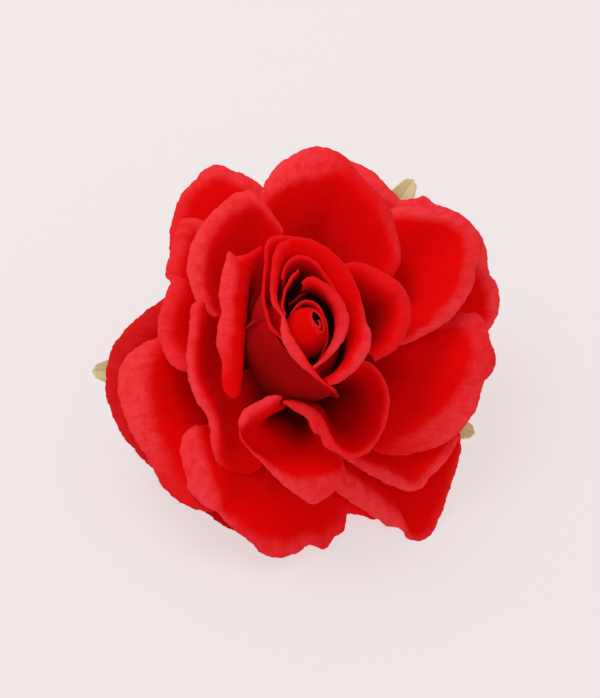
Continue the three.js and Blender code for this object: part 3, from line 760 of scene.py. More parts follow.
SECOND_WHORL = [
    Petal(at=152, pale=(0.6, 0.6, 0.5), band=(3.4,), drop=(1,), claw=5.4,
          w=(12, 12, 12.5, 14, 15.5, 16),
          rim=[(117, 31), (121, 37), (128, 41), (138, 37.3), (148, 34), (170, 284, 12.3),
               (165, 298, 12.6), (160, 311, 13), (157, 325, 13.5), (158, 338, 14), (162, 351, 14.5),
               (169, 362.5, 15), (178, 370, 15.5), (188, 372, 15.5), (196, 364, 16)]),
    Petal(at=-163, claw=5.0, fold=2.0, soft=3.2, pale=(0.3, 0.9, 1, 1, 0.9, 0.35, 0.2, 0.2),
          w=(9, 10, 11, 12, 12, 12, 12, 12, 12, 12, 12, 12, 12, 11.5, 11, 11, 10.5, 10, 10),
          rim=[(172, 338, 9), (160, 337, 10), (148, 341, 11), (136, 348, 12), (126, 358, 12),
               (119, 372, 12), (118, 388, 12), (121, 405, 12), (128, 425, 12), (138, 445, 12),
               (215.5, 39.7), (217.5, 40.1), (154, 470, 12), (160, 482, 11.5), (170, 494, 11),
               (183, 504, 11), (197, 509, 10.5), (210, 512, 10), (220, 507, 10)],
          crest_w=(10, 11.5, 13, 13.8, 14, 14, 14, 14, 14, 14, 14, 13.8, 13.5, 13, 12.5, 12, 11.5,
                   11, 10.5),
          crest=[(174, 345, 10), (165, 346, 11.5), (157, 350, 13), (153, 356, 13.8), (151, 364, 14),
                 (150, 375, 14), (150, 389, 14), (151, 404, 14), (154, 420, 14), (159, 437, 14),
                 (164, 447, 14), (168, 454, 13.8), (172, 461, 13.5), (178, 472, 13),
                 (186, 482, 12.5), (195, 491, 12), (204, 498, 11.5), (212, 503, 11),
                 (219, 502, 10.5)]),
    Petal(at=-106, claw=6.3, fold=1.4, soft=2.2, pale=(1, 1, 1, 1, 0.4, 0.5, 0.6, 0.4, 0.2, 0, 0),
          w=(13, 12, 11.5, 11.5, 12, 12, 12, 12, 12, 12, 12, 11.8, 11.4, 10.8, 10, 8, 7.5, 7, 6.5,
             6, 6, 6.5, 6.5, 6.5, 6.5, 6.5, 6.3, 6, 5.5, 5.3, 5.2, 6, 8.5),
          rim=[(196, 424, 13), (190, 427, 12), (184, 434, 11.5), (180, 443, 11.5), (178, 454, 12),
               (179, 467, 12), (183, 480, 12), (190, 492, 12), (199, 501, 12), (208, 508, 12),
               (217, 511.5, 12), (222, 517, 11.8), (230, 526, 11.4), (240, 534, 10.8),
               (252, 544, 10), (266, 555, 8), (279, 558, 7.5), (292, 555, 7), (302, 549, 6.5),
               (-84, 41.1), (-82.5, 41.3), (325.5, 549, 6.5), (330, 543.5, 6.5), (333.5, 537, 6.5),
               (339, 533.5, 6.5), (343.5, 530, 6.5), (345, 522, 6.3), (347.5, 514.5, 6),
               (356, 514.5, 5.5), (366, 517, 5.3), (375, 519.5, 5.2), (379, 511, 6),
               (370, 494, 8.5)],
          crest_w=(13.5, 13.8, 14, 14, 14, 14, 14, 13.8, 13.5, 13.2, 12.8, 12.4, 12, 11.5, 10.8, 10,
                   9, 8.5, 8, 7.5, 7.5, 7.8, 7.8, 7.8, 7.8, 7.8, 7.6, 7.4, 7, 6.8, 6.8, 7.4, 9.5),
          crest=[(198, 426, 13.5), (199, 434, 13.8), (202, 443, 14), (205, 454, 14), (208, 465, 14),
                 (212, 476, 14), (216, 486, 14), (219, 496, 13.8), (221, 503, 13.5),
                 (222, 508, 13.2), (223, 512, 12.8), (228, 517, 12.4), (238, 523, 12),
                 (250, 530, 11.5), (262, 538, 10.8), (272, 541, 9), (281, 543, 8.5),
                 (291, 541.5, 8), (299, 537, 7.5), (305, 533.5, 7), (311, 533.5, 7),
                 (322, 538, 7.8), (326, 533, 7.8), (329, 527, 7.8), (334, 523, 7.8),
                 (338, 519, 7.8), (340, 513, 7.6), (343, 506, 7.4), (352, 505.5, 7),
                 (362, 507.5, 6.8), (368, 509, 6.8), (371, 503, 7.4), (363, 490, 9.5)]),
    Petal(at=-47, claw=5.2, fold=1.0, soft=1.8, pale=(0.4, 0.8, 0.9, 0.9, 0.8, 0.6),
          w=(11, 12, 12, 12, 12, 12, 12, 12, 12, 12, 12, 12, 11.5, 11),
          rim=[(322, 445, 11), (334, 452, 12), (346, 459.5, 12), (358, 468, 12), (371, 475.5, 12),
               (385, 482.5, 12), (399, 488, 12), (411, 490, 12), (422, 487.5, 12), (429.5, 479, 12),
               (439, 468, 12), (447, 458, 12), (453, 449, 11.5), (460, 436, 11)],
          crest_w=(12, 13.5, 13.5, 13.5, 13.5, 13.5, 13.5, 13.5, 13.5, 13.5, 13.5, 13.2, 12.7, 12),
          crest=[(326, 441, 12), (338, 448, 13.5), (350, 454.5, 13.5), (363, 459.5, 13.5),
                 (376, 464.5, 13.5), (389, 470, 13.5), (401, 476.5, 13.5), (411, 481.5, 13.5),
                 (419.5, 482.5, 13.5), (425, 476, 13.5), (432, 466.5, 13.5), (439, 457.5, 13.2),
                 (445, 449.5, 12.7), (452, 436, 12)]),
    Petal(at=24, claw=5.6, fold=1.4, soft=2.4, pale=(0.5, 0.8, 0.8, 0.6),
          w=(12, 12, 12, 12, 12, 12, 12, 12, 12, 12, 11, 11),
          rim=[(462, 252, 12), (474, 260, 12), (484, 269, 12), (491, 277, 12), (496, 284, 12),
               (499, 293, 12), (499.5, 303, 12), (497, 314, 12), (492, 325, 12), (487, 333, 12),
               (476, 340, 11), (462, 342, 11)],
          crest_w=(13, 13, 13, 13.2, 13.4, 13.4, 13.4, 13.4, 13.2, 13, 12, 12),
          crest=[(460, 260, 13), (470, 268, 13), (478, 276, 13), (484, 284, 13.2),
                 (487.5, 291, 13.4), (489.5, 298, 13.4), (489.5, 305, 13.4), (488, 313, 13.4),
                 (485, 321, 13.2), (481, 329, 13), (472, 335, 12), (460, 337, 12)]),
]

THIRD_WHORL = [
    Petal(at=128, w=(20,), claw=9.2, fold=1.4, soft=2.4, pale=(0.5, 0.8, 1, 1), crest_w=(21.5,),
          rim=[(283, 228, 20), (274, 216, 20), (265, 204, 20), (258, 194.5, 20), (252, 190, 20),
               (240, 192.5, 20), (228, 198, 20), (216, 209, 20), (205, 221, 20), (197, 234, 20),
               (190, 248, 20), (187, 262, 20), (188, 276, 20), (192, 290, 20), (200, 306, 20),
               (160, 20)],
          crest=[(283, 233, 21.5), (275, 224, 21.5), (267, 214, 21.5), (260, 206, 21.5),
                 (253, 203, 21.5), (243, 207, 21.5), (233, 213, 21.5), (224, 221, 21.5),
                 (216, 231, 21.5), (210, 243, 21.5), (206, 254, 21.5), (204, 265, 21.5),
                 (204, 277, 21.5), (206, 290, 21.5), (210, 304, 21.5), (159, 18.8)]),
    Petal(at=-165, claw=9.4, fold=1.1, soft=1.8, out_of_shade=(0.1, 0.45),
          pale=(0.6, 0.8, 0.9, 0.9, 0.6, 0, 0),
          w=(20, 20, 20, 20, 20, 20, 20, 20, 20, 19.8, 19.5, 19, 18.6, 18, 13.1, 11.2, 9.8, 9.2,
             9.3),
          rim=[(152, 24), (193, 305, 20), (191, 318, 20), (190, 332, 20), (187, 350, 20),
               (187, 366, 20), (189, 382, 20), (208, 25.2), (207, 415, 20), (209.5, 426, 19.8),
               (210.5, 437, 19.5), (213, 447, 19), (215, 455, 18.6), (217, 461.5, 18),
               (226, 469, 13.1), (237, 473, 11.2), (248, 474, 9.8), (258, 470, 9.2),
               (264, 462, 9.3)],
          crest_w=(21.5, 21.5, 21.5, 21.5, 21.5, 21.5, 21.5, 21.5, 21.5, 21.3, 21, 20.5, 19.8, 18.4,
                   13.4, 11.4, 10, 9.4, 9.4),
          crest=[(150, 22), (203, 303, 21.5), (200, 317, 21.5), (198, 332, 21.5), (196, 350, 21.5),
                 (196, 366, 21.5), (199, 381, 21.5), (208.5, 23.3), (216, 417, 21.5),
                 (218.5, 428, 21.3), (219.5, 438, 21), (219.5, 448, 20.5), (219.5, 456, 19.8),
                 (220, 460, 18.4), (228, 466, 13.4), (238, 469, 11.4), (247, 470, 10),
                 (255, 466, 9.4), (260, 459, 9.4)]),
    Petal(at=78, claw=9.4, fold=1.4, soft=2.4, pale=(0.7, 1, 1, 0.7, 0.15, 0.1, 0.4, 0.5, 0.1),
          w=(17, 19.5, 19.5, 19.5, 19.5),
          rim=[(264, 208, 19.5), (261, 197, 19.5), (262, 187, 19.5), (268, 177, 19.5),
               (276, 168, 19.5), (285, 160, 19.5), (298, 152, 19.5), (313, 147, 19.5),
               (323, 147.5, 19.5), (333, 150, 19.5), (345, 157, 19.5), (356, 168, 19.5),
               (366, 180, 19.5), (378, 194, 19.5), (388, 209, 19.5), (395, 224, 19.5),
               (398, 238, 19.5), (400, 252, 19.5), (398, 266, 19.5), (40, 28)],
          crest_w=(19, 22, 22.5, 22, 21.5),
          crest=[(268, 209, 22), (268, 200, 22), (270, 194, 22), (277, 188, 22), (285, 184, 22),
                 (294, 180, 22), (304, 177, 22), (315, 175.5, 22), (325, 174, 22), (334, 172.5, 22),
                 (345, 174, 22), (354, 181, 22), (362, 190, 22), (373, 203, 22), (382, 216, 22),
                 (389, 229, 22), (392.5, 241, 22), (394, 253, 22), (393, 265, 22), (40.5, 26.8)]),
    Petal(at=34, claw=9.2, fold=1.3, soft=2.2, pale=(0.9, 0.9, 0.8, 0.6, 0.7, 0.9, 0.8, 0.6),
          w=(18, 18.5, 19, 19, 19, 19, 19, 19, 19.5, 20, 20, 20, 20, 20, 20, 20, 20, 20, 20, 19.5,
             19),
          rim=[(388, 210, 18), (398, 207.5, 18.5), (415, 207, 19), (435, 209, 19), (450, 211, 19),
               (463, 218, 19), (474, 228, 19), (480.5, 238, 19), (482, 248, 19.5), (479, 258, 20),
               (475, 268, 20), (473.5, 282, 20), (468, 295, 20), (460, 308, 20), (452, 317.5, 20),
               (445, 323.5, 20), (437, 329, 20), (425, 335, 20), (412, 341, 20), (400, 345, 19.5),
               (392, 346, 19)],
          crest_w=(20, 20.3, 20.5, 20.5, 20.5, 20.5, 20.7, 21, 21.3, 21.5, 21.5, 21.5, 21.5, 21.5,
                   21.5, 21.5, 21.5, 21.5, 21.3, 20.5, 20),
          crest=[(390, 219, 20), (400, 218, 20.3), (415, 218, 20.5), (432, 219, 20.5),
                 (445, 221, 20.5), (456, 227, 20.5), (464, 236, 20.7), (467, 245, 21),
                 (466, 254, 21.3), (463, 262, 21.5), (462, 269, 21.5), (461, 277, 21.5),
                 (455.5, 290, 21.5), (447, 303, 21.5), (440, 311, 21.5), (434, 318, 21.5),
                 (428, 323, 21.5), (419, 329.5, 21.5), (409, 335, 21.3), (401, 338, 20.5),
                 (392, 340, 20)]),
    Petal(at=-14, claw=8.7, fold=1.4, soft=2.6, pale=(0, 0.8, 0.6, 0.5, 0.6, 0.8, 0.8, 0.3, 0),
          out_of_shade=(0.15, 0.5),
          w=(9, 10.5, 13, 15, 16, 16, 16, 16, 16, 16, 16, 15.5, 15.2, 15, 15, 15, 15, 15, 15, 15,
             15, 15, 15, 15),
          rim=[(408, 318, 9), (428, 321, 10.5), (446, 320, 13), (455, 314.5, 15), (465, 312, 16),
               (475, 313, 16), (482, 318, 16), (486, 326, 16), (488.5, 335, 16), (492, 346, 16),
               (495, 357.5, 16), (494, 368, 15.5), (490, 375.5, 15.2), (484, 383.5, 15),
               (480, 394, 15), (476, 408, 15), (468, 422, 15), (459, 432, 15), (448, 441, 15),
               (434, 448.5, 15), (418, 452.5, 15), (402, 455, 15), (386, 454.5, 15),
               (373, 450.5, 15)],
          crest_w=(10, 11.5, 14.5, 16.8, 17.3, 17.3, 17.3, 17.3, 17.3, 17.3, 17.3, 17, 17, 16.8,
                   16.6, 16.5, 16.5, 16.4, 16.4, 16.3, 16.2, 16, 15.8, 15.5),
          crest=[(410, 326, 10), (430, 329, 11.5), (447, 329, 14.5), (457, 328, 16.8),
                 (462, 327.5, 17.3), (466, 330, 17.3), (469, 336, 17.3), (470.5, 343, 17.3),
                 (471.5, 350, 17.3), (472, 357, 17.3), (471, 364, 17.3), (468, 373, 17),
                 (464, 380, 17), (460, 388, 16.8), (456, 396, 16.6), (449, 406, 16.5),
                 (441, 414, 16.5), (432, 421, 16.4), (421, 428, 16.4), (409, 435, 16.3),
                 (397, 441.5, 16.2), (388, 445.5, 16), (380, 448, 15.8), (373, 447, 15.5)]),
]

INNER_WHORL = [
    Petal(at=171, out_of_shade=(0.4, 0.8), claw=16, reach=11.5, wave=0.15, fold=1.2, soft=1.8, fray=0.25,
          pale=(0, 0.2, 0.9, 0.8, 0.8, 0.8, 0.3, 0, 0), w=(30,), crest_w=(31.5,), back_w=(30,),
          rim=[(262, 246, 30), (252, 252, 30), (244, 255, 30), (236, 256, 30), (229, 251.5, 30),
               (225, 262, 30), (222, 275, 30), (220, 290, 30), (220, 303, 30), (222, 311, 30),
               (219.5, 322, 30), (217, 335, 30), (217, 347, 30), (221, 358, 30), (222.5, 368, 30),
               (222, 380, 30), (225, 391, 30), (233, 397, 30), (240, 393, 30)],
          crest=[(262, 249, 31.5), (254, 255, 31.5), (247, 258, 31.5), (240, 261, 31.5),
                 (236.5, 265, 31.5), (235.5, 274, 31.5), (234.5, 285, 31.5), (233.5, 297, 31.5),
                 (233.5, 308, 31.5), (233.5, 318, 31.5), (233, 328, 31.5), (231.5, 340, 31.5),
                 (230.5, 350, 31.5), (230, 360, 31.5), (230, 370, 31.5), (230.5, 380, 31.5),
                 (232, 388, 31.5), (235.5, 392, 31.5), (239, 391, 31.5)],
          back=[(264, 252, 30), (260, 258, 30), (256, 263, 30), (252, 270, 30), (249.5, 276, 30),
                (248.5, 283, 30), (247.5, 291, 30), (247, 300, 30), (246.5, 309, 30),
                (246, 318, 30), (245, 328, 30), (244.5, 338, 30), (243.5, 348, 30), (243, 358, 30),
                (242.5, 368, 30), (242, 377, 30), (241.5, 384, 30), (241, 389, 30),
                (241, 391, 30)]),
    Petal(at=-92, claw=14.5, reach=12, wave=0.15, fold=0.5, soft=1.0, fray=0.25, out_of_shade=(0.3, 0.55),
          dive=(5, 5, 4.5, 2, 0, 0, 0, 0), pale=(0.8, 0.8, 0.7, 0.4, 0.7, 0.9, 0.8, 0.6, 0.2, 0),
          w=(32, 31, 30.5, 30, 29.5, 29, 28.8, 28, 27, 26, 25, 24, 23.3, 23, 23, 23.3, 23.6, 24, 24,
             24, 24, 23.5),
          rim=[(282, 396, 32), (272, 396.5, 31), (262, 400, 30.5), (251, 405, 30), (243, 412, 29.5),
               (239, 421, 29), (240, 431, 28.8), (242, 440, 28), (249, 450, 27), (262, 463, 26),
               (276, 477, 25), (290, 489.5, 24), (303, 499, 23.3), (313, 504, 23), (323, 499, 23),
               (335, 491.5, 23.3), (342, 485, 23.6), (344.5, 475, 24), (343.5, 464, 24),
               (340, 455, 24), (334, 447.5, 24), (328, 442, 23.5)],
          crest_w=(32, 32, 31.8, 31.2, 30.5, 29.8, 29, 28.5, 27.5, 26.8, 26.5, 26.5, 26.2, 26, 25.6,
                   25.3, 25, 24.7, 24.3, 24.1, 24, 23.5),
          crest=[(282, 397, 32), (273, 404, 32), (265, 409, 31.8), (256, 415, 31.2),
                 (248, 421.5, 30.5), (243, 427, 29.8), (240.5, 432, 29), (243.5, 440, 28.5),
                 (251, 449, 27.5), (264.5, 460, 26.8), (279, 470.5, 26.5), (291, 477, 26.5),
                 (301, 478.5, 26.2), (311, 477.5, 26), (320, 476, 25.6), (329, 474, 25.3),
                 (337, 470.5, 25), (341.5, 465, 24.7), (341, 460, 24.3), (338, 454, 24.1),
                 (332, 446.5, 24), (327, 441, 23.5)]),
    Petal(at=-46, claw=14.5, reach=12, wave=0.15, fold=0.5, soft=1.0, fray=0.25, out_of_shade=(0.2, 0.75),
          dive=(4, 4, 3, 1, 0, 0), pale=(0.5, 0.4, 0.4, 0.3), w=(30,), crest_w=(30.6,),
          rim=[(283, 401.5, 30), (290, 407.5, 30), (299, 413, 30), (307, 419, 30), (311, 427, 30),
               (315, 433, 30), (320, 436.5, 30), (324, 445, 30), (331, 450.5, 30), (340, 455, 30),
               (350, 458.5, 30), (357, 457.5, 30), (366, 454, 30), (374, 446, 30), (381, 436, 30),
               (385, 425, 30), (388.5, 410, 30), (388.5, 395, 30), (384, 381, 30), (377, 369, 30),
               (367, 362, 30), (356, 362, 30)],
          crest=[(283, 400.5, 30.6), (292, 400, 30.6), (302, 402, 30.6), (312, 406, 30.6),
                 (320, 413, 30.6), (325, 421, 30.6), (328.5, 431, 30.6), (333, 440, 30.6),
                 (338, 446.5, 30.6), (344, 451, 30.6), (350, 454, 30.6), (357, 454.5, 30.6),
                 (364, 451.5, 30.6), (371.5, 444, 30.6), (378.5, 434.5, 30.6), (382.5, 424, 30.6),
                 (386, 410, 30.6), (386, 396, 30.6), (382, 383, 30.6), (375.5, 372, 30.6),
                 (366.5, 365, 30.6), (356, 365, 30.6)]),
    Petal(at=24, pale=(0.07, 0.17, 0.21, 0.17), w=(30,), band=(2, 3, 3, 3, 1.5),
          drop=(1, 1.1, 1.1, 1.1, 0.5), claw=14.5, reach=12, soft=2.2, fray=0.25, out_of_shade=(0.38, 0.88),
          rim=[(66, 18), (60, 20.2), (53, 22), (41, 23.7), (28.5, 25.2), (22, 25.3), (16, 24.8),
               (8.5, 23.7), (-3, 21), (-8.5, 19.2), (-13, 17.5), (-17, 16.2)]),
]

BUD_PETALS = [
    BudPetal(w=(39,), belly=(9.5, 10, 11.1, 10.3), shoulder=(11, 14, 14, 12.1, 10.4), band=(0.9,),
             drop=(0.5,), skew=(0, 0, 0, -10), pale=(0.15,), inside=(0.3, 0.65),
             outside=(0.25, 1.5),
             rim=[(70, 16.5), (330, 250, 39), (312, 240, 39), (290, 236, 39), (272, 237, 39),
                  (266, 244, 39), (264.5, 260, 39), (263, 278, 39), (262, 295, 39), (264, 310, 39),
                  (178, 9), (190, 8.2), (200, 7.4), (214, 6.8)]),
    BudPetal(belly=(11.3, 11.9, 12.7, 13, 12.5), shoulder=(11.8, 11.5, 12.1, 13.4, 14.5),
             band=(0.5, 0.5, 0.5, 0.3), drop=(0.2,), pale=(0.1,), inside=(0.9, 1.7),
             outside=(0.3, 1.65),
             w=(31, 34.5, 37.3, 38.2, 38.7, 39.1, 39.3, 39.3, 39.3, 39.3, 39, 38.6, 38, 37),
             rim=[(245, 328, 31), (251, 323, 34.5), (262, 319, 37.3), (269, 324, 38.2),
                  (274.5, 334, 38.7), (281, 344, 39.1), (289, 352.5, 39.3), (297, 361, 39.3),
                  (307, 370, 39.3), (317, 379, 39.3), (328, 386.5, 39), (335, 391.5, 38.6),
                  (338.5, 395, 38), (337.5, 399, 37)]),
    BudPetal(w=(40,), belly=(9, 9, 9, 9.8, 10.5), shoulder=(16, 13.5, 9.6, 9.4, 10, 11.6),
             shoulder_rise=23.6, crest_w=(40.7,), inside=(0.35, 0.7),
             pale=(0.05, 0.05, 0.05, 0.05, 0.6, 0.8, 0.4),
             rim=[(276, 247, 40), (286, 241, 40), (298, 238, 40), (312, 241, 40), (326, 248, 40),
                  (338, 258, 40), (348, 270, 40), (356, 285, 40), (361, 299, 40), (364, 313, 40),
                  (367, 324, 40), (371, 334, 40), (370, 346, 40), (366, 356, 40), (358, 367, 40),
                  (347, 377, 40), (338, 383, 40), (330, 385, 40)],
             crest=[(278, 250, 40.7), (287, 244, 40.7), (298, 241, 40.7), (311, 244, 40.7),
                    (324, 251, 40.7), (335.5, 261, 40.7), (345, 273, 40.7), (43, 12.6),
                    (29.5, 11.8), (15, 11.4), (1.5, 11.3), (-11, 11.3), (-22.5, 11.5),
                    (-35.5, 11.7), (-47.5, 11.9), (-59.5, 12.3), (-68, 12.9), (-74, 13.4)]),
    BudPetal(belly=(8, 9, 10, 10, 10), fold=0.6, inside=(0.6, 0.9),
             pale=(0.1, 0.1, 0.2, 0.6, 0.9, 0.7, 0.3, 0.1),
             w=(41.2, 41.2, 41.1, 41, 40.8, 40.5, 40.2, 40, 40, 40, 40, 40, 40, 40, 40, 40, 40,
                39.8, 39.2),
             rim=[(287, 241, 41.2), (280, 243, 41.2), (275.5, 249, 41.1), (272.5, 259, 41),
                  (271.5, 270, 40.8), (270.5, 282, 40.5), (270.5, 294, 40.2), (273, 305, 40),
                  (277.5, 311.5, 40), (281.5, 317, 40), (281, 328, 40), (282, 339, 40),
                  (286, 348, 40), (292, 357, 40), (300, 365, 40), (310, 373.5, 40), (319, 381, 40),
                  (329, 388, 39.8), (336, 393, 39.2)],
             crest_w=(41.7, 41.7, 41.7, 41.6, 41.4, 41.2, 41, 40.9, 40.8, 40.8, 40.8, 40.8, 40.8,
                      40.8, 40.8, 40.8, 40.7, 40.3, 39.5),
             crest=[(291, 246, 41.7), (284, 248, 41.7), (280.5, 254, 41.7), (278, 263, 41.6),
                    (277, 273, 41.4), (276.5, 283, 41.2), (276.5, 293, 41), (278, 302, 40.9),
                    (282, 309, 40.8), (285.5, 315, 40.8), (289, 324, 40.8), (292, 333, 40.8),
                    (296.5, 342, 40.8), (302.5, 351, 40.8), (308.5, 360.5, 40.8),
                    (314, 368.5, 40.8), (321, 377.5, 40.7), (330, 385, 40.3), (337, 391, 39.5)]),
    BudPetal(w=(40.5,), belly=(8.6, 8.6), crest_w=(41,), fold=0.6, pale=(0.1, 0.2, 0.5, 0.9, 0.6),
             rim=[(102, 9.2), (95, 9.9), (313, 277, 40.5), (325, 283, 40.5), (337, 293, 40.5),
                  (345, 305, 40.5), (348.6, 319, 40.5), (346, 335, 40.5), (339, 347, 40.5),
                  (329, 357, 40.5), (-77, 9.2), (-86, 9.9)],
             crest=[(101.5, 8.3), (94.5, 8.7), (314, 284.5, 41), (324, 292, 41), (331.5, 302, 41),
                    (335.5, 312, 41), (336.5, 321, 41), (334.5, 335, 41), (330, 345, 41),
                    (-67, 7.4), (-80, 8.8), (-87.5, 9.6)]),
    BudPetal(w=(40.3,), belly=(8.5, 9.5), band=(0.5,), drop=(0.2,), pale=(0.3,), inside=(0.88, 1),
             steps=(100, 28),
             rim=[(299, 269, 40.3), (292, 276, 40.3), (286, 286, 40.3), (282.5, 296, 40.3),
                  (281.5, 306, 40.3), (284, 314, 40.3)]),
    BudPetal(w=(39.8,), belly=(9.3, 8.7), band=(0.7,), drop=(0.3,), pale=(0.2,), inside=(0.74, 1),
             steps=(120, 30),
             rim=[(281, 278, 39.8), (284, 266, 39.8), (290, 258.5, 39.8), (299, 255, 39.8),
                  (309, 257.5, 39.8), (318, 264, 39.8), (326, 274, 39.8), (333, 285, 39.8),
                  (340, 297, 39.8)]),
    BudPetal(belly=(4.8, 5, 4.9, 4.9, 5.2), band=(0.3,), drop=(0.15,), fold=0.25, pale=(0.4,),
             inside=(0.86, 1), outside=(0.6, 1), wave=0.05, fray=0.05, steps=(120, 24),
             w=(37.8, 38.7, 39, 39, 39, 39, 38.6, 37.9, 36.9, 35.7, 34.5),
             rim=[(290.5, 315, 37.8), (296.5, 305.5, 38.7), (303, 301, 39), (310, 300.5, 39),
                  (317, 304, 39), (322.5, 311, 39), (326, 320, 38.6), (328, 330, 37.9),
                  (327.5, 341, 36.9), (324.5, 351, 35.7), (320, 361, 34.5)]),
    BudPetal(w=(38, 38.6, 38.8, 38.2), belly=(6.4,), band=(0.2,), drop=(0.1,), fold=0.2,
             pale=(0.1,), inside=(0.95, 1.15), outside=(0.95, 1.15), wave=0.05, fray=0.05,
             steps=(60, 24), rim=[(288.5, 304.5, 38), (294, 300.5, 38.6), (300, 296, 38.8),
                                  (306, 292.5, 38.2)]),
]


# ---- node trees ----


def fed(tree: bpy.types.NodeTree, socket: bpy.types.NodeSocket, value: object) -> None:
    """Sets a socket to a value, or links another socket or a signal to it.

    Args:
        tree: The tree that holds the socket.
        socket: The input.
        value: A plain value, an output socket or a Signal.
    """
    source = value.socket if isinstance(value, Signal) else value
    if isinstance(source, bpy.types.NodeSocket):
        tree.links.new(source, socket)
    else:
        socket.default_value = source


def add_node(tree: bpy.types.NodeTree, kind: str, settings: dict | None = None,
             sockets: dict | None = None) -> bpy.types.Node:
    """Adds a node to a tree.

    Args:
        tree: The tree.
        kind: The node's type name.
        settings: Its properties, set before its sockets.
        sockets: Values or links by socket name or number.

    Returns:
        The node.
    """
    node = tree.nodes.new(kind)
    for key, value in (settings or {}).items():
        setattr(node, key, value)
    for key, value in (sockets or {}).items():
        fed(tree, node.inputs[key], value)
    return node


class Signal:
    """A shader socket whose operators add Math nodes."""

    def __init__(self, shader: "Shader", socket: bpy.types.NodeSocket) -> None:
        """Wraps an output socket of a shader's tree."""
        self.shader = shader
        self.socket = socket

    def _math(self, operation: str, *values: "Signal | float") -> "Signal":
        """One Math node over the given values, in order."""
        return self.shader.node("ShaderNodeMath", {"operation": operation},
                                dict(enumerate(values)))

    def __add__(self, other: "Signal | float") -> "Signal":
        """Sum."""
        return self._math("ADD", self, other)

    __radd__ = __add__

    def __sub__(self, other: "Signal | float") -> "Signal":
        """Difference."""
        return self._math("SUBTRACT", self, other)

    def __rsub__(self, other: "Signal | float") -> "Signal":
        """Difference, with a plain number first."""
        return self._math("SUBTRACT", other, self)

    def __mul__(self, other: "Signal | float") -> "Signal":
        """Product."""
        return self._math("MULTIPLY", self, other)

    __rmul__ = __mul__

    def __pow__(self, other: "Signal | float") -> "Signal":
        """Power."""
        return self._math("POWER", self, other)

    def sine(self) -> "Signal":
        """Sine of the value in radians."""
        return self._math("SINE", self)

    def clamped(self) -> "Signal":
        """The value kept between 0 and 1."""
        return self._math("MINIMUM", self._math("MAXIMUM", self, 0.0), 1.0)


class Shader:
    """A material and its node tree, built node by node."""

    def __init__(self, name: str) -> None:
        """Starts a material with a Principled BSDF on its output.

        Args:
            name: The material's name.
        """
        self.material = bpy.data.materials.new(name)
        self.material.use_nodes = True
        self.tree = self.material.node_tree
        self.tree.nodes.clear()
        self.surface = add_node(self.tree, "ShaderNodeBsdfPrincipled")
        add_node(self.tree, "ShaderNodeOutputMaterial", None, {"Surface": self.surface.outputs[0]})

    def node(self, kind: str, settings: dict | None = None, sockets: dict | None = None,
             out: int | str = 0) -> Signal:
        """A node's output, after add_node, as a signal."""
        return Signal(self, add_node(self.tree, kind, settings, sockets).outputs[out])

    def dress(self, **values: object) -> bpy.types.Material:
        """Sets or links inputs of the Principled BSDF; underscores stand for spaces.

        Args:
            values: A value or signal for each input.

        Returns:
            The material.
        """
        for key, value in values.items():
            fed(self.tree, self.surface.inputs[key.replace("_", " ")], value)
        return self.material

    def mixed(self, share: Signal | float, a: object, b: object) -> Signal:
        """A colour between a and b."""
        return self.node("ShaderNodeMix", {"data_type": "RGBA"}, {0: share, 6: a, 7: b}, 2)

    def noise(self, place: Signal, scale: float, detail: float = 2.0,
              rough: float = 0.5) -> Signal:
        """Smooth noise, about 0 to 1."""
        return self.node("ShaderNodeTexNoise", None, {"Vector": place, "Scale": scale,
                                                      "Detail": detail, "Roughness": rough})

    def bump(self, height: Signal, strength: float, distance: float) -> Signal:
        """A normal that follows a height."""
        return self.node("ShaderNodeBump", None,
                         {"Height": height, "Strength": strength, "Distance": distance})

    def value(self, name: str) -> Signal:
        """A number stored on the mesh."""
        return self.node("ShaderNodeAttribute", {"attribute_name": name}, None, "Fac")

    def flat(self) -> Signal:
        """Cloth coordinates, in millimetres."""
        return self.node("ShaderNodeUVMap", {"uv_map": CLOTH_UV})

    def place(self) -> Signal:
        """Object coordinates, in metres."""
        return self.node("ShaderNodeTexCoord", None, None, "Object")


# ---- finishes ----


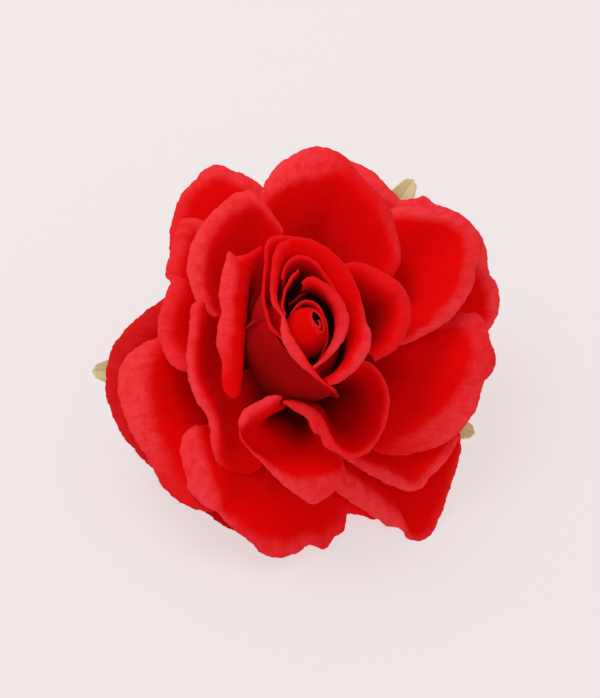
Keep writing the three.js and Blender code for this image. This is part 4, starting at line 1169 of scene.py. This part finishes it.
@dataclass(frozen=True)
class ClothFinish:
    """Red-dyed polyester cloth, with painted shade towards the claw and painted sheen on its rolled
    rim.
    """

    name: str
    # deep is the painted shade's colour, towards the claws and on inner faces
    deep: Colour = (0.10, 0.0002, 0.0003, 1)
    full: Colour = (0.84, 0.0003, 0.0009, 1)
    # pale is the painted sheen's colour
    pale: Colour = (0.96, 0.048, 0.060, 1)
    painted_glow: float = 0.08  # painted glow in the cloth's shaded colour, standing in for light that the thin cloth lets pass
    thread: float = 0.5  # distance that the weave repeats at
    slubs: float = 1.5  # thick places of the threads, for each millimetre
    creases: tuple[float, float, float] = (0.9, 0.22, 1.0)  # the same, across and along a petal
    patches: float = 0.33  # the same, of worn patches
    blotches: float = 110.0  # pools of dye, for each metre
    blotched: float = 0.3  # how much they shift the painted shade at random
    sheen_paint: float = 0.52  # how strong the painted sheen on the rolled rim is, evenly
    edge_sheen_paint: float = 0.25  # how much stronger it gets towards the cut edge
    slub_sheen_paint: float = 1.1  # how much stronger or weaker it is where the threads stand out
    crease_sheen_paint: float = 0.7  # and on the creases
    patch_sheen_paint: float = 1.5  # and on the patches
    lip: tuple[float, float] = (16, 0.35)  # how narrow and how strong the painted highlight along the very edge is
    relief: tuple[float, float, float] = (0.3, 0.5, 0.9)  # weave, slubs and creases
    bumps: tuple[float, float] = (0.55, 0.00022)  # strength, and height in metres
    rough: tuple[float, float] = (0.7, 0.2)  # least roughness, and what the slubs add
    sheen: float = 0.04
    sheen_tint: Colour = (1.0, 0.22, 0.24, 1)

    def material(self) -> bpy.types.Material:
        """The finish as a material.

        Returns:
            The material.
        """
        shader = Shader(self.name)
        flat = shader.flat()
        split = shader.node("ShaderNodeSeparateXYZ", None, {0: flat})
        u, v = (Signal(shader, socket) for socket in split.socket.node.outputs[:2])
        turn = 2 * math.pi / self.thread
        weave = (u * turn).sine() * (v * turn).sine() * 0.5 + 0.5
        slub = shader.noise(flat, self.slubs, detail=3.0, rough=0.65)
        stretched = shader.node("ShaderNodeVectorMath", {"operation": "MULTIPLY"},
                                {0: flat, 1: self.creases})
        crease = shader.noise(stretched, scale=1.0)
        patch = shader.noise(flat, self.patches, rough=0.6)
        blotch = shader.noise(shader.place(), self.blotches, detail=3.0)
        edge, rolled = shader.value(EDGE_SHARE), shader.value(SHEEN_MASK)
        # painted shade, with random blotches: 0 gives the deep colour, 1 the full one
        out_of_shade = (shader.value(PAINTED_SHADE) + (blotch - 0.5) * self.blotched).clamped()
        colour = shader.mixed(out_of_shade, self.deep, self.full)
        # painted sheen on the rolled rim, speckled by the slubs, creases and patches
        painted_sheen = (self.sheen_paint + self.edge_sheen_paint * edge + (slub - 0.5) * self.slub_sheen_paint
               + (crease - 0.5) * self.crease_sheen_paint + (patch - 0.5) * self.patch_sheen_paint)
        # and a thin painted highlight along the cut edge of the rolled rim
        narrow, edge_highlight = self.lip
        painted_sheen = (rolled * painted_sheen + edge**narrow * rolled * edge_highlight).clamped()
        weave_high, slub_high, crease_high = self.relief
        return shader.dress(
            Base_Color=shader.mixed(painted_sheen, colour, self.pale),
            # painted glow: the cloth gives off its own shaded colour as light
            Emission_Color=colour,
            Emission_Strength=self.painted_glow,
            Roughness=self.rough[0] + slub * self.rough[1],
            Normal=shader.bump(weave * weave_high + slub * slub_high + crease * crease_high,
                               *self.bumps),
            Specular_IOR_Level=0.05,
            Sheen_Weight=self.sheen,
            Sheen_Roughness=0.4,
            Sheen_Tint=self.sheen_tint,
        )


@dataclass(frozen=True)
class GreenFinish:
    """Moulded yellow-green sepals, paler at the tips."""

    name: str = "sepal_green"
    base: Colour = (0.10, 0.16, 0.025, 1)
    tip: Colour = (0.78, 0.75, 0.38, 1)
    veins: float = 0.9  # for each millimetre
    grains: float = 900.0  # for each metre
    tip_start: float = 3  # how late the pale tip starts, as a power
    tipped: tuple[float, float, float] = (1.1, 0.3, 0.1)  # tip, veins, and what is taken off
    bumps: tuple[float, float] = (0.4, 0.0003)
    rough: tuple[float, float] = (0.42, 0.25)

    def material(self) -> bpy.types.Material:
        """The finish as a material.

        Returns:
            The material.
        """
        shader = Shader(self.name)
        vein = shader.noise(shader.flat(), self.veins, detail=3.0)
        grain = shader.noise(shader.place(), self.grains, detail=3.0)
        tip, veined, off = self.tipped
        pale = shader.value(EDGE_SHARE)**self.tip_start * tip + vein * veined - off
        return shader.dress(
            Base_Color=shader.mixed(pale.clamped(), self.base, self.tip),
            Roughness=self.rough[0] + grain * self.rough[1],
            Normal=shader.bump(vein * 0.7 + grain * 0.3, *self.bumps),
            Specular_IOR_Level=0.4,
        )


@dataclass(frozen=True)
class TapeFinish:
    """Waxed crepe tape, stretched while it was wound."""

    name: str = "crepe_tape"
    dark: Colour = (0.022, 0.055, 0.014, 1)
    light: Colour = (0.075, 0.14, 0.045, 1)
    crepe: float = 1500.0  # for each metre
    blotches: float = 260.0
    lit: tuple[float, float, float] = (0.7, 0.4, 0.1)  # crepe, blotches, and what is taken off
    bumps: tuple[float, float] = (0.6, 0.0002)
    rough: tuple[float, float] = (0.55, 0.3)

    def material(self) -> bpy.types.Material:
        """The finish as a material.

        Returns:
            The material.
        """
        shader = Shader(self.name)
        place = shader.place()
        crepe = shader.noise(place, self.crepe, detail=3.0, rough=0.7)
        creped, blotched, off = self.lit
        light = crepe * creped + shader.noise(place, self.blotches) * blotched - off
        return shader.dress(
            Base_Color=shader.mixed(light.clamped(), self.dark, self.light),
            Roughness=self.rough[0] + crepe * self.rough[1],
            Normal=shader.bump(crepe, *self.bumps),
        )


@dataclass(frozen=True)
class WireFinish:
    """Drawn steel wire, a little stained."""

    name: str = "drawn_wire"
    colour: Colour = (0.42, 0.43, 0.45, 1)
    stain: Colour = (0.20, 0.19, 0.18, 1)
    spots: float = 700.0  # for each metre
    stained: tuple[float, float] = (1.4, 0.5)  # spots, and what is taken off
    bumps: tuple[float, float] = (0.2, 0.0001)
    rough: tuple[float, float] = (0.25, 0.3)

    def material(self) -> bpy.types.Material:
        """The finish as a material.

        Returns:
            The material.
        """
        shader = Shader(self.name)
        spots = shader.noise(shader.place(), self.spots, detail=4.0, rough=0.6)
        stain = (spots * self.stained[0] - self.stained[1]).clamped()
        return shader.dress(
            Base_Color=shader.mixed(stain, self.colour, self.stain),
            Roughness=self.rough[0] + spots * self.rough[1],
            Metallic=1.0,
            Normal=shader.bump(spots, *self.bumps),
        )


@dataclass(frozen=True)
class FloorFinish:
    """A plain pale table top, lit a little from below as on a light table."""

    name: str = "table"
    colour: Colour = (0.25, 0.235, 0.236, 1)
    cloudy: Colour = (0.244, 0.227, 0.228, 1)
    clouds: float = 12.0  # for each metre
    glow: Colour = (1.0, 0.915, 0.92, 1)
    glow_strength: float = 0.655

    def material(self) -> bpy.types.Material:
        """The finish as a material.

        Returns:
            The material.
        """
        shader = Shader(self.name)
        cloud = shader.noise(shader.place(), self.clouds)
        return shader.dress(
            Base_Color=shader.mixed(cloud * 0.5, self.colour, self.cloudy),
            Roughness=0.6,
            Specular_IOR_Level=0.2,
            Emission_Color=self.glow,
            Emission_Strength=self.glow_strength,
        )


# ---- the pieces ----


@dataclass
class ClothPiece:
    """A finished piece of sheets and turned solids, in place of one CAD node."""

    name: str
    node: str
    slot: Slot

    def cloth(self) -> Cloth:
        """The sheets and solids of the piece."""
        raise NotImplementedError

    def build(self, material: bpy.types.Material) -> bpy.types.Object:
        """Builds the piece and dresses it.

        Args:
            material: Its finish.

        Returns:
            The finished piece.
        """
        piece = self.cloth().object(self.name, material)
        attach(piece, "root")
        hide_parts(self.node)
        return piece


@dataclass
class Whorl(ClothPiece):
    """One die-cut whorl of cloth petals on its hub."""

    petals: list[Petal]
    number: int  # 0 for the outermost

    def bottom(self) -> float:
        """Height of the hub's lower face."""
        return FIRST_HUB + self.number * HUB_STEP

    def sheets(self) -> list[Surface]:
        """The middle surface of each petal.

        Returns:
            The surfaces, with a seed of its own for each.
        """
        middle = self.bottom() + HUB_HEIGHT / 2
        return [petal.sheet(middle, WHORL_SEEDS * self.number + PETAL_SEEDS * k)
                for k, petal in enumerate(self.petals)]

    def cloth(self) -> Cloth:
        """The petals and the hub.

        Returns:
            The gathered sheets.
        """
        cloth = Cloth()
        for sheet in self.sheets():
            cloth.add(sheet)
        low, high = self.bottom(), self.bottom() + HUB_HEIGHT
        cut, bevel = HUB_CHAMFER
        cloth.turned([(0, low), (HUB_RADIUS - cut, low), (HUB_RADIUS, low + bevel),
                      (HUB_RADIUS, high - bevel), (HUB_RADIUS - cut, high), (0, high)])
        return cloth


@dataclass(frozen=True)
class RolledTip:
    """The innermost petal, rolled round a narrow slot, with its front sloping down and out."""

    centre: tuple[float, float] = (1.83, 1.3)  # of the slot, right and up from the axis
    size: tuple[float, float] = (2.2, 0.85)  # half the slot's length and width
    turn: float = 114.5  # azimuth of the slot
    steps: tuple[int, int] = (200, 24)
    start: float = 0.2  # where the roll starts, in turns
    turns: float = 1.55
    outermost: float = 1.35  # the roll's size at its start, as a share of the slot's
    tighter: float = 0.85  # how much of that it loses on the way in
    shift: tuple[float, float] = (0.35, 0.2)  # how far it moves on the way in
    top: float = 39.6
    top_slope: float = 0.5
    top_waves: tuple[float, float] = (0.2, 19)  # height, and radians from end to end
    foot_radius: float = 5.3
    foot_narrows: float = 0.25
    foot_shift: float = 0.4
    foot_height: float = 35
    foot_slope: float = 2.6
    rise: float = 0.9  # power that packs the steps towards the top
    bulge: float = 0.35
    lip: tuple[float, float] = (12, 0.3)  # how narrow and how strong the painted sheen along the top edge is
    outside: tuple[float, float] = (-0.4, 0.7)  # where the painted shade on the outer side lifts to full colour
    inside: tuple[float, float] = (0.84, 1)

    def sheet(self) -> Surface:
        """The petal's cloth, from its foot inside the bud to its rolled top.

        Returns:
            Its middle surface.
        """
        share = np.linspace(0, 1, self.steps[0])[:, None]
        up = np.linspace(0, 1, self.steps[1])[None]
        turn = math.radians(self.turn)
        angle = 2 * math.pi * (self.start + self.turns * share)
        grow = self.outermost - self.tighter * share
        long, short = (size * grow for size in self.size)
        x = long * np.cos(angle) * math.cos(turn) - short * np.sin(angle) * math.sin(turn)
        y = long * np.cos(angle) * math.sin(turn) + short * np.sin(angle) * math.cos(turn)
        foot = polar(np.degrees(angle) + self.turn,
                     self.foot_radius * (1 - self.foot_narrows * share),
                     self.foot_height + self.foot_slope * np.cos(angle))
        foot = foot - [self.foot_shift, self.foot_shift, 0]
        wave, waves = self.top_waves
        head = np.stack([x + self.centre[0] - self.shift[0] * share,
                         y + self.centre[1] - self.shift[1] * share,
                         self.top - self.top_slope * grow + wave * np.sin(share * waves)], -1)
        rows = foot + (head - foot) * (up**self.rise)[..., None]
        rows = rows + (foot - head) * [1, 1, 0] * np.sin(up * math.pi)[..., None] * self.bulge
        # painted sheen along the top edge of the rolled tip
        narrow, pale = self.lip
        rolled = np.clip(up * narrow - (narrow - 1), 0, 1) * pale
        return Surface(rows, rolled, (rising(up, self.outside), rising(up, self.inside)))


@dataclass
class Bud(ClothPiece):
    """The rolled core with cloth petals wound round it."""

    name: str = "bud_petals"
    node: str = "bud"
    slot: Slot = Slot.BUD
    foot: float = BUD_FOOT
    core: tuple[tuple[float, float], ...] = (  # radius, and height over the foot
        (0, -0.8), (3.4, -0.8), (4.2, 4), (4.2, 12), (3.0, 16), (0, 16))
    core_sides: int = 40

    def cloth(self) -> Cloth:
        """The wound petals, the rolled tip and the core.

        Returns:
            The gathered sheets.
        """
        cloth = Cloth()
        for k, petal in enumerate(BUD_PETALS):
            cloth.add(petal.sheet(self.foot, BUD_SEEDS + PETAL_SEEDS * k))
        cloth.add(RolledTip().sheet())
        cloth.turned([(radius, self.foot + rise) for radius, rise in self.core], self.core_sides)
        return cloth


@dataclass
class Calyx(ClothPiece):
    """The green cup and its sepals."""

    name: str = "calyx_leaf"
    node: str = "calyx"
    slot: Slot = Slot.CALYX
    sepals: tuple[tuple[float, float, float], ...] = (  # azimuth, reach and height of each tip
        (-13.3, 47.2, -6.5), (58, 57.8, 1.5), (129, 38, -6), (179.5, 44, -5), (-88, 32, -1.8))
    width: float = 8.6
    thick: float = 0.8
    cup: tuple[tuple[float, float], ...] = (
        (0, -7.5), (2.5, -7.5), (2.9, -7.3), (3.2, -6.6), (3.7, -5.8), (4.9, -4.2), (6.0, -2.3),
        (6.2, -1.2), (6.1, -0.2), (5.6, 0.35), (5.0, 0.5), (0, 0.5))
    cup_sides: int = 60
    steps: tuple[int, int] = (21, 60)
    root: tuple[float, float] = (2.5, -1.9)  # distance from the axis and height
    lip: tuple[float, float] = (9.0, -2.1)  # where it leaves the cup
    sag: tuple[float, float] = (0.55, 1.5)  # where it hangs lowest, and how far
    swell_from: float = 0.25  # where the width starts on the half wave that it follows
    bluntness: float = 0.36  # power of the width; lower makes blunter ends
    stalk: float = 0.03
    teeth: tuple[float, float, float] = (0.06, 26, 0.3)  # size, radians along it, and start
    rib: tuple[float, float, float] = (0.35, 0.12, 0.7)  # depth, width, and how it fades
    cupped: tuple[float, float] = (0.13, 1.3)  # how far the sides rise, and how late

    def cloth(self) -> Cloth:
        """The sepals and the cup.

        Returns:
            The gathered sheets.
        """
        green = Cloth(thick=self.thick)
        for tip in self.sepals:
            green.add(Surface(self.sepal(*tip)))
        green.turned(list(self.cup), self.cup_sides)
        return green

    def sepal(self, azimuth: float, reach: float, height: float) -> np.ndarray:
        """One sepal's middle surface, from the cup to its tip.

        Args:
            azimuth: Which way it points.
            reach: Distance of its tip from the axis.
            height: Height of its tip.

        Returns:
            Points, shaped (across, along, 3).
        """
        share = np.linspace(0, 1, self.steps[1])
        sag_at, sag = self.sag
        knots = [polar(azimuth, *self.root), polar(azimuth, *self.lip),
                 polar(azimuth, reach * sag_at, (height + self.lip[1]) / 2 - sag),
                 polar(azimuth, reach, height)]
        spine = smooth(np.stack(knots)[None], share)[0]
        swell = np.sin(math.pi * (self.swell_from + (1 - self.swell_from) * share))
        tooth, waves, first = self.teeth
        width = self.width * (self.stalk + np.maximum(swell, 0) ** self.bluntness)
        width = width * (1 + tooth * np.abs(np.sin(share * waves)) * (share > first))
        across = np.linspace(-1, 1, self.steps[0])[:, None]
        deep, broad, fades = self.rib
        rib = -deep * np.exp(-(across / broad) ** 2) * (1 - share * fades)
        lift = np.abs(across) ** self.cupped[1] * width * self.cupped[0] + rib
        side = polar(azimuth + 90, 1.0, 0.0)
        return spine + (across * width / 2)[..., None] * side + lift[..., None] * [0, 0, 1]


class GeometryTree:
    """A geometry node tree with named inputs, built node by node."""

    def __init__(self, name: str, values: dict[str, float | int]) -> None:
        """Starts the tree.

        Args:
            name: The tree's name.
            values: Its inputs by name, with their values.
        """
        self.values = values
        self.tree = bpy.data.node_groups.new(name, "GeometryNodeTree")
        face = self.tree.interface
        face.new_socket("Geometry", in_out="INPUT", socket_type="NodeSocketGeometry")
        for key, value in values.items():
            kind = "NodeSocketInt" if isinstance(value, int) else "NodeSocketFloat"
            face.new_socket(key, in_out="INPUT", socket_type=kind).default_value = value
        face.new_socket("Geometry", in_out="OUTPUT", socket_type="NodeSocketGeometry")
        self.inputs = self.add("NodeGroupInput").outputs

    def add(self, kind: str, settings: dict | None = None,
            sockets: dict | None = None) -> bpy.types.Node:
        """Adds a node, as add_node does."""
        return add_node(self.tree, kind, settings, sockets)

    def end(self, shape: bpy.types.NodeSocket, material: bpy.types.Material) -> None:
        """Ends the tree in Realize Instances and Set Material.

        Args:
            shape: The geometry that it makes.
            material: Its finish.
        """
        real = self.add("GeometryNodeRealizeInstances", None, {"Geometry": shape})
        dressed = self.add("GeometryNodeSetMaterial", None,
                           {"Geometry": real.outputs[0], "Material": material})
        self.add("NodeGroupOutput", None, {0: dressed.outputs[0]})

    def run(self, piece: bpy.types.Object) -> None:
        """Runs the tree on an object and keeps the result as its plain mesh.

        Args:
            piece: The object to run it on.
        """
        modifier = piece.modifiers.new("nodes", "NODES")
        modifier.node_group = self.tree
        for item in self.tree.interface.items_tree:
            if item.in_out == "INPUT" and item.name in self.values:
                modifier[item.identifier] = self.values[item.name]
        shown = piece.evaluated_get(bpy.context.evaluated_depsgraph_get())
        mesh = bpy.data.meshes.new_from_object(shown)
        piece.modifiers.remove(modifier)
        piece.data = mesh


@dataclass
class Fray:
    """Loose threads along the petals' cut edges."""

    name: str = "edge_threads"
    seed: int = 5
    spacing: float = 0.55
    length: float = 0.6
    radius: float = 0.04
    tip_radius: float = 0.01
    sides: int = 3
    stray: float = 0.9  # how far a thread turns from straight out
    shortest: float = 0.25
    inside: int = -3  # the step of a petal that its threads point away from
    lift: float = 0.7  # least height of the cut edges over the table

    def tree(self, material: bpy.types.Material) -> GeometryTree:
        """The node tree that sets the threads along the edges of a mesh.

        Args:
            material: The cloth's finish.

        Returns:
            The tree, with inputs for the threads' sizes and its seed.
        """
        threads = GeometryTree("fray", {"Spacing": self.spacing * MM, "Length": self.length * MM,
                                        "Radius": self.radius * MM, "Seed": self.seed})
        given, seed = threads.inputs, threads.inputs["Seed"]
        curve = threads.add("GeometryNodeMeshToCurve", None, {"Mesh": given["Geometry"]})
        dots = threads.add("GeometryNodeCurveToPoints", {"mode": "LENGTH"},
                           {"Curve": curve.outputs[0], "Length": given["Spacing"]})
        thread = threads.add("GeometryNodeMeshCone", {"fill_type": "NONE"},
                             {"Vertices": self.sides, "Side Segments": 1,
                              "Radius Top": self.tip_radius * MM, "Radius Bottom": given["Radius"],
                              "Depth": given["Length"]})
        out = threads.add("GeometryNodeInputNamedAttribute", {"data_type": "FLOAT_VECTOR"},
                          {"Name": "out"})
        stray = threads.add("FunctionNodeRandomValue", {"data_type": "FLOAT_VECTOR"},
                            {0: (-self.stray,) * 3, 1: (self.stray,) * 3, "Seed": seed})
        way = threads.add("ShaderNodeVectorMath", {"operation": "ADD"},
                          {0: out.outputs["Attribute"], 1: stray.outputs["Value"]})
        turn = threads.add("FunctionNodeAlignRotationToVector", {"axis": "Z"},
                           {"Vector": way.outputs[0]})
        scale = threads.add("FunctionNodeRandomValue", {"data_type": "FLOAT"},
                            {2: self.shortest, 3: 1.0, "Seed": seed})
        placed = threads.add("GeometryNodeInstanceOnPoints", None,
                             {"Points": dots.outputs["Points"], "Instance": thread.outputs["Mesh"],
                              "Rotation": turn.outputs[0], "Scale": scale.outputs[1]})
        threads.end(placed.outputs[0], material)
        return threads

    def build(self, whorls: list[Whorl], material: bpy.types.Material) -> bpy.types.Object:
        """Builds the threads.

        Args:
            whorls: The whorls whose petals are frayed.
            material: The cloth's finish.

        Returns:
            The finished piece.
        """
        points, edges, out = [], [], []
        for sheet in [sheet for whorl in whorls for sheet in whorl.sheets()]:
            rows = FLOWER.placed(FLOWER.lifted(sheet.rows, self.lift))
            line = rows[:, -1]
            first = len(points)
            points += line.tolist()
            out += unit(line - rows[:, self.inside]).tolist()
            edges += [(first + k, first + k + 1) for k in range(len(line) - 1)]
        mesh = bpy.data.meshes.new(self.name)
        mesh.from_pydata(points, edges, [])
        layer = mesh.attributes.new("out", "FLOAT_VECTOR", "POINT")
        layer.data.foreach_set("vector", np.array(out, np.float32).ravel())
        piece = linked(self.name, mesh)
        self.tree(material).run(piece)
        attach(piece, "root")
        return piece


@dataclass
class Wire(ClothPiece):
    """The short wire that the cup, the whorls and the bud are threaded on."""

    name: str = "stem_rod"
    node: str = "stem_wire"
    slot: Slot = Slot.WIRE
    radius: float = 1.0
    end: float = -19.6
    top: float = BUD_FOOT + 1.5
    chamfer: float = 0.15

    def cloth(self) -> Cloth:
        """The wire as a turned solid, with its cut end cleaned off.

        Returns:
            The solid.
        """
        steel = Cloth()
        steel.turned([(0, self.end), (self.radius - self.chamfer, self.end),
                      (self.radius, self.end + self.chamfer), (self.radius, self.top),
                      (0, self.top)])
        return steel


@dataclass
class Tape:
    """The crepe tape wound round the wire below the cup."""

    name: str = "stem_tape"
    bottom: float = -19.0
    top: float = -7.9
    radius: float = 2.15
    width: float = 2.6
    thick: float = 0.3
    turns: float = 6.5
    steps: int = 36  # in one turn
    tilt: float = 0.07  # in radians

    def strip(self, material: bpy.types.Material) -> GeometryTree:
        """The node tree that winds the tape.

        Args:
            material: The tape's finish.

        Returns:
            The tree, with inputs for the tape's sizes.
        """
        wound = GeometryTree("tape", {
            "Turns": self.turns, "Radius": self.radius * MM,
            "Height": (self.top - self.bottom - self.width) * MM,
            "Width": self.width * MM, "Thickness": self.thick * MM})
        given = wound.inputs
        spiral = wound.add("GeometryNodeCurveSpiral", None,
                           {"Resolution": self.steps, "Rotations": given["Turns"],
                            "Start Radius": given["Radius"], "End Radius": given["Radius"],
                            "Height": given["Height"]})
        upright = wound.add("GeometryNodeSetCurveNormal", {"mode": "Z_UP"},
                            {"Curve": spiral.outputs[0]})
        tilted = wound.add("GeometryNodeSetCurveTilt", None,
                           {"Curve": upright.outputs[0], "Tilt": self.tilt})
        section = wound.add("GeometryNodeCurvePrimitiveQuadrilateral", {"mode": "RECTANGLE"},
                            {"Width": given["Thickness"], "Height": given["Width"]})
        swept = wound.add("GeometryNodeCurveToMesh", None,
                          {"Curve": tilted.outputs[0], "Profile Curve": section.outputs[0],
                           "Fill Caps": True})
        wound.end(swept.outputs[0], material)
        return wound

    def build(self, material: bpy.types.Material) -> bpy.types.Object:
        """Winds the tape, puts it in its place on the wire and dresses it.

        Args:
            material: Its finish.

        Returns:
            The finished piece.
        """
        piece = linked(self.name, bpy.data.meshes.new(self.name))
        self.strip(material).run(piece)
        local = np.empty(len(piece.data.vertices) * 3, np.float32)
        piece.data.vertices.foreach_get("co", local)
        first = self.bottom + self.width / 2
        local = FLOWER.placed(local.reshape(-1, 3) / MM + [0, 0, first])
        piece.data.vertices.foreach_set("co", local.astype(np.float32).ravel())
        piece.data.update()
        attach(piece, "root")
        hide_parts("stem_wrap")
        return piece


# ---- the stage ----


@dataclass(frozen=True)
class Studio:
    """The table top, soft light and the camera."""

    seen: tuple[float, float] = (0.01, 20)  # nearest and farthest that the camera sees, in metres
    table_size: float = 8.0  # in metres
    sky: Colour = (1.0, 0.985, 0.985, 1)
    sky_strength: float = 0.60
    window_at: tuple[float, float, float] = (-0.30, 0.20, 0.90)  # in metres
    window_size: float = 0.45
    window_watts: float = 2.8
    window_colour: tuple[float, float, float] = (1.0, 0.975, 0.97)

    def build(self) -> None:
        """Builds the floor, the light and the camera."""
        self.floor()
        self.light()
        self.camera()

    def floor(self) -> None:
        """A wide pale table top under the flower."""
        half = self.table_size / 2
        mesh = bpy.data.meshes.new("table")
        mesh.from_pydata([(-half, -half, 0), (half, -half, 0), (half, half, 0), (-half, half, 0)],
                         [], [(0, 1, 2, 3)])
        mesh.materials.append(FloorFinish().material())
        linked("table", mesh)

    def light(self) -> None:
        """A soft light over the back left, and pale surroundings."""
        world = bpy.data.worlds.new("room")
        world.use_nodes = True
        sky = world.node_tree.nodes["Background"]
        sky.inputs["Color"].default_value = self.sky
        sky.inputs["Strength"].default_value = self.sky_strength
        bpy.context.scene.world = world
        lamp = bpy.data.lights.new("window", "AREA")
        lamp.energy = self.window_watts
        lamp.size = self.window_size
        lamp.color = self.window_colour
        holder = linked("window", lamp)
        holder.location = self.window_at
        holder.rotation_euler = (-Vector(self.window_at)).to_track_quat("-Z", "Y").to_euler()
        bpy.context.scene.view_settings.view_transform = "Standard"

    def camera(self) -> None:
        """The camera, looking down at the flower's face."""
        right, up, back = (Vector(way) for way in VIEW.ways())
        lens = bpy.data.cameras.new("camera")
        lens.lens = VIEW.lens
        lens.sensor_fit = "VERTICAL"
        lens.sensor_height = VIEW.film
        lens.clip_start, lens.clip_end = self.seen
        place = (Vector(FLOWER.receptacle) + back * VIEW.distance + right * VIEW.aside[0]
                 + up * VIEW.aside[1]) * MM
        turned = Matrix((right, up, back)).transposed().to_4x4()
        holder = linked("camera", lens)
        holder.matrix_world = Matrix.Translation(place) @ turned
        bpy.context.scene.camera = holder


def main() -> None:
    """Builds the flower and its stage."""
    logging.basicConfig(level=logging.INFO, format="%(message)s")
    Studio().build()
    petal_cloth = ClothFinish("petal_cloth").material()
    # the bud's painted shade is darker, for the deep gaps between its wound petals
    bud_cloth = ClothFinish("bud_cloth", deep=(0.035, 0.0001, 0.0002, 1)).material()
    whorls = [
        Whorl("outer_petals", "outer_whorl", Slot.PETAL, OUTER_WHORL, 0),
        Whorl("second_petals", "second_whorl", Slot.PETAL, SECOND_WHORL, 1),
        Whorl("third_petals", "third_whorl", Slot.PETAL, THIRD_WHORL, 2),
        Whorl("inner_petals", "inner_whorl", Slot.PETAL, INNER_WHORL, 3),
    ]
    pieces = [
        *(whorl.build(petal_cloth) for whorl in whorls),
        Bud().build(bud_cloth),
        Calyx().build(GreenFinish().material()),
        Wire().build(WireFinish().material()),
        Tape().build(TapeFinish().material()),
        Fray().build(whorls, petal_cloth),
    ]
    for piece in pieces:
        LOG.info("%s: %d faces", piece.name, len(piece.data.polygons))


if __name__ == "__main__":
    main()
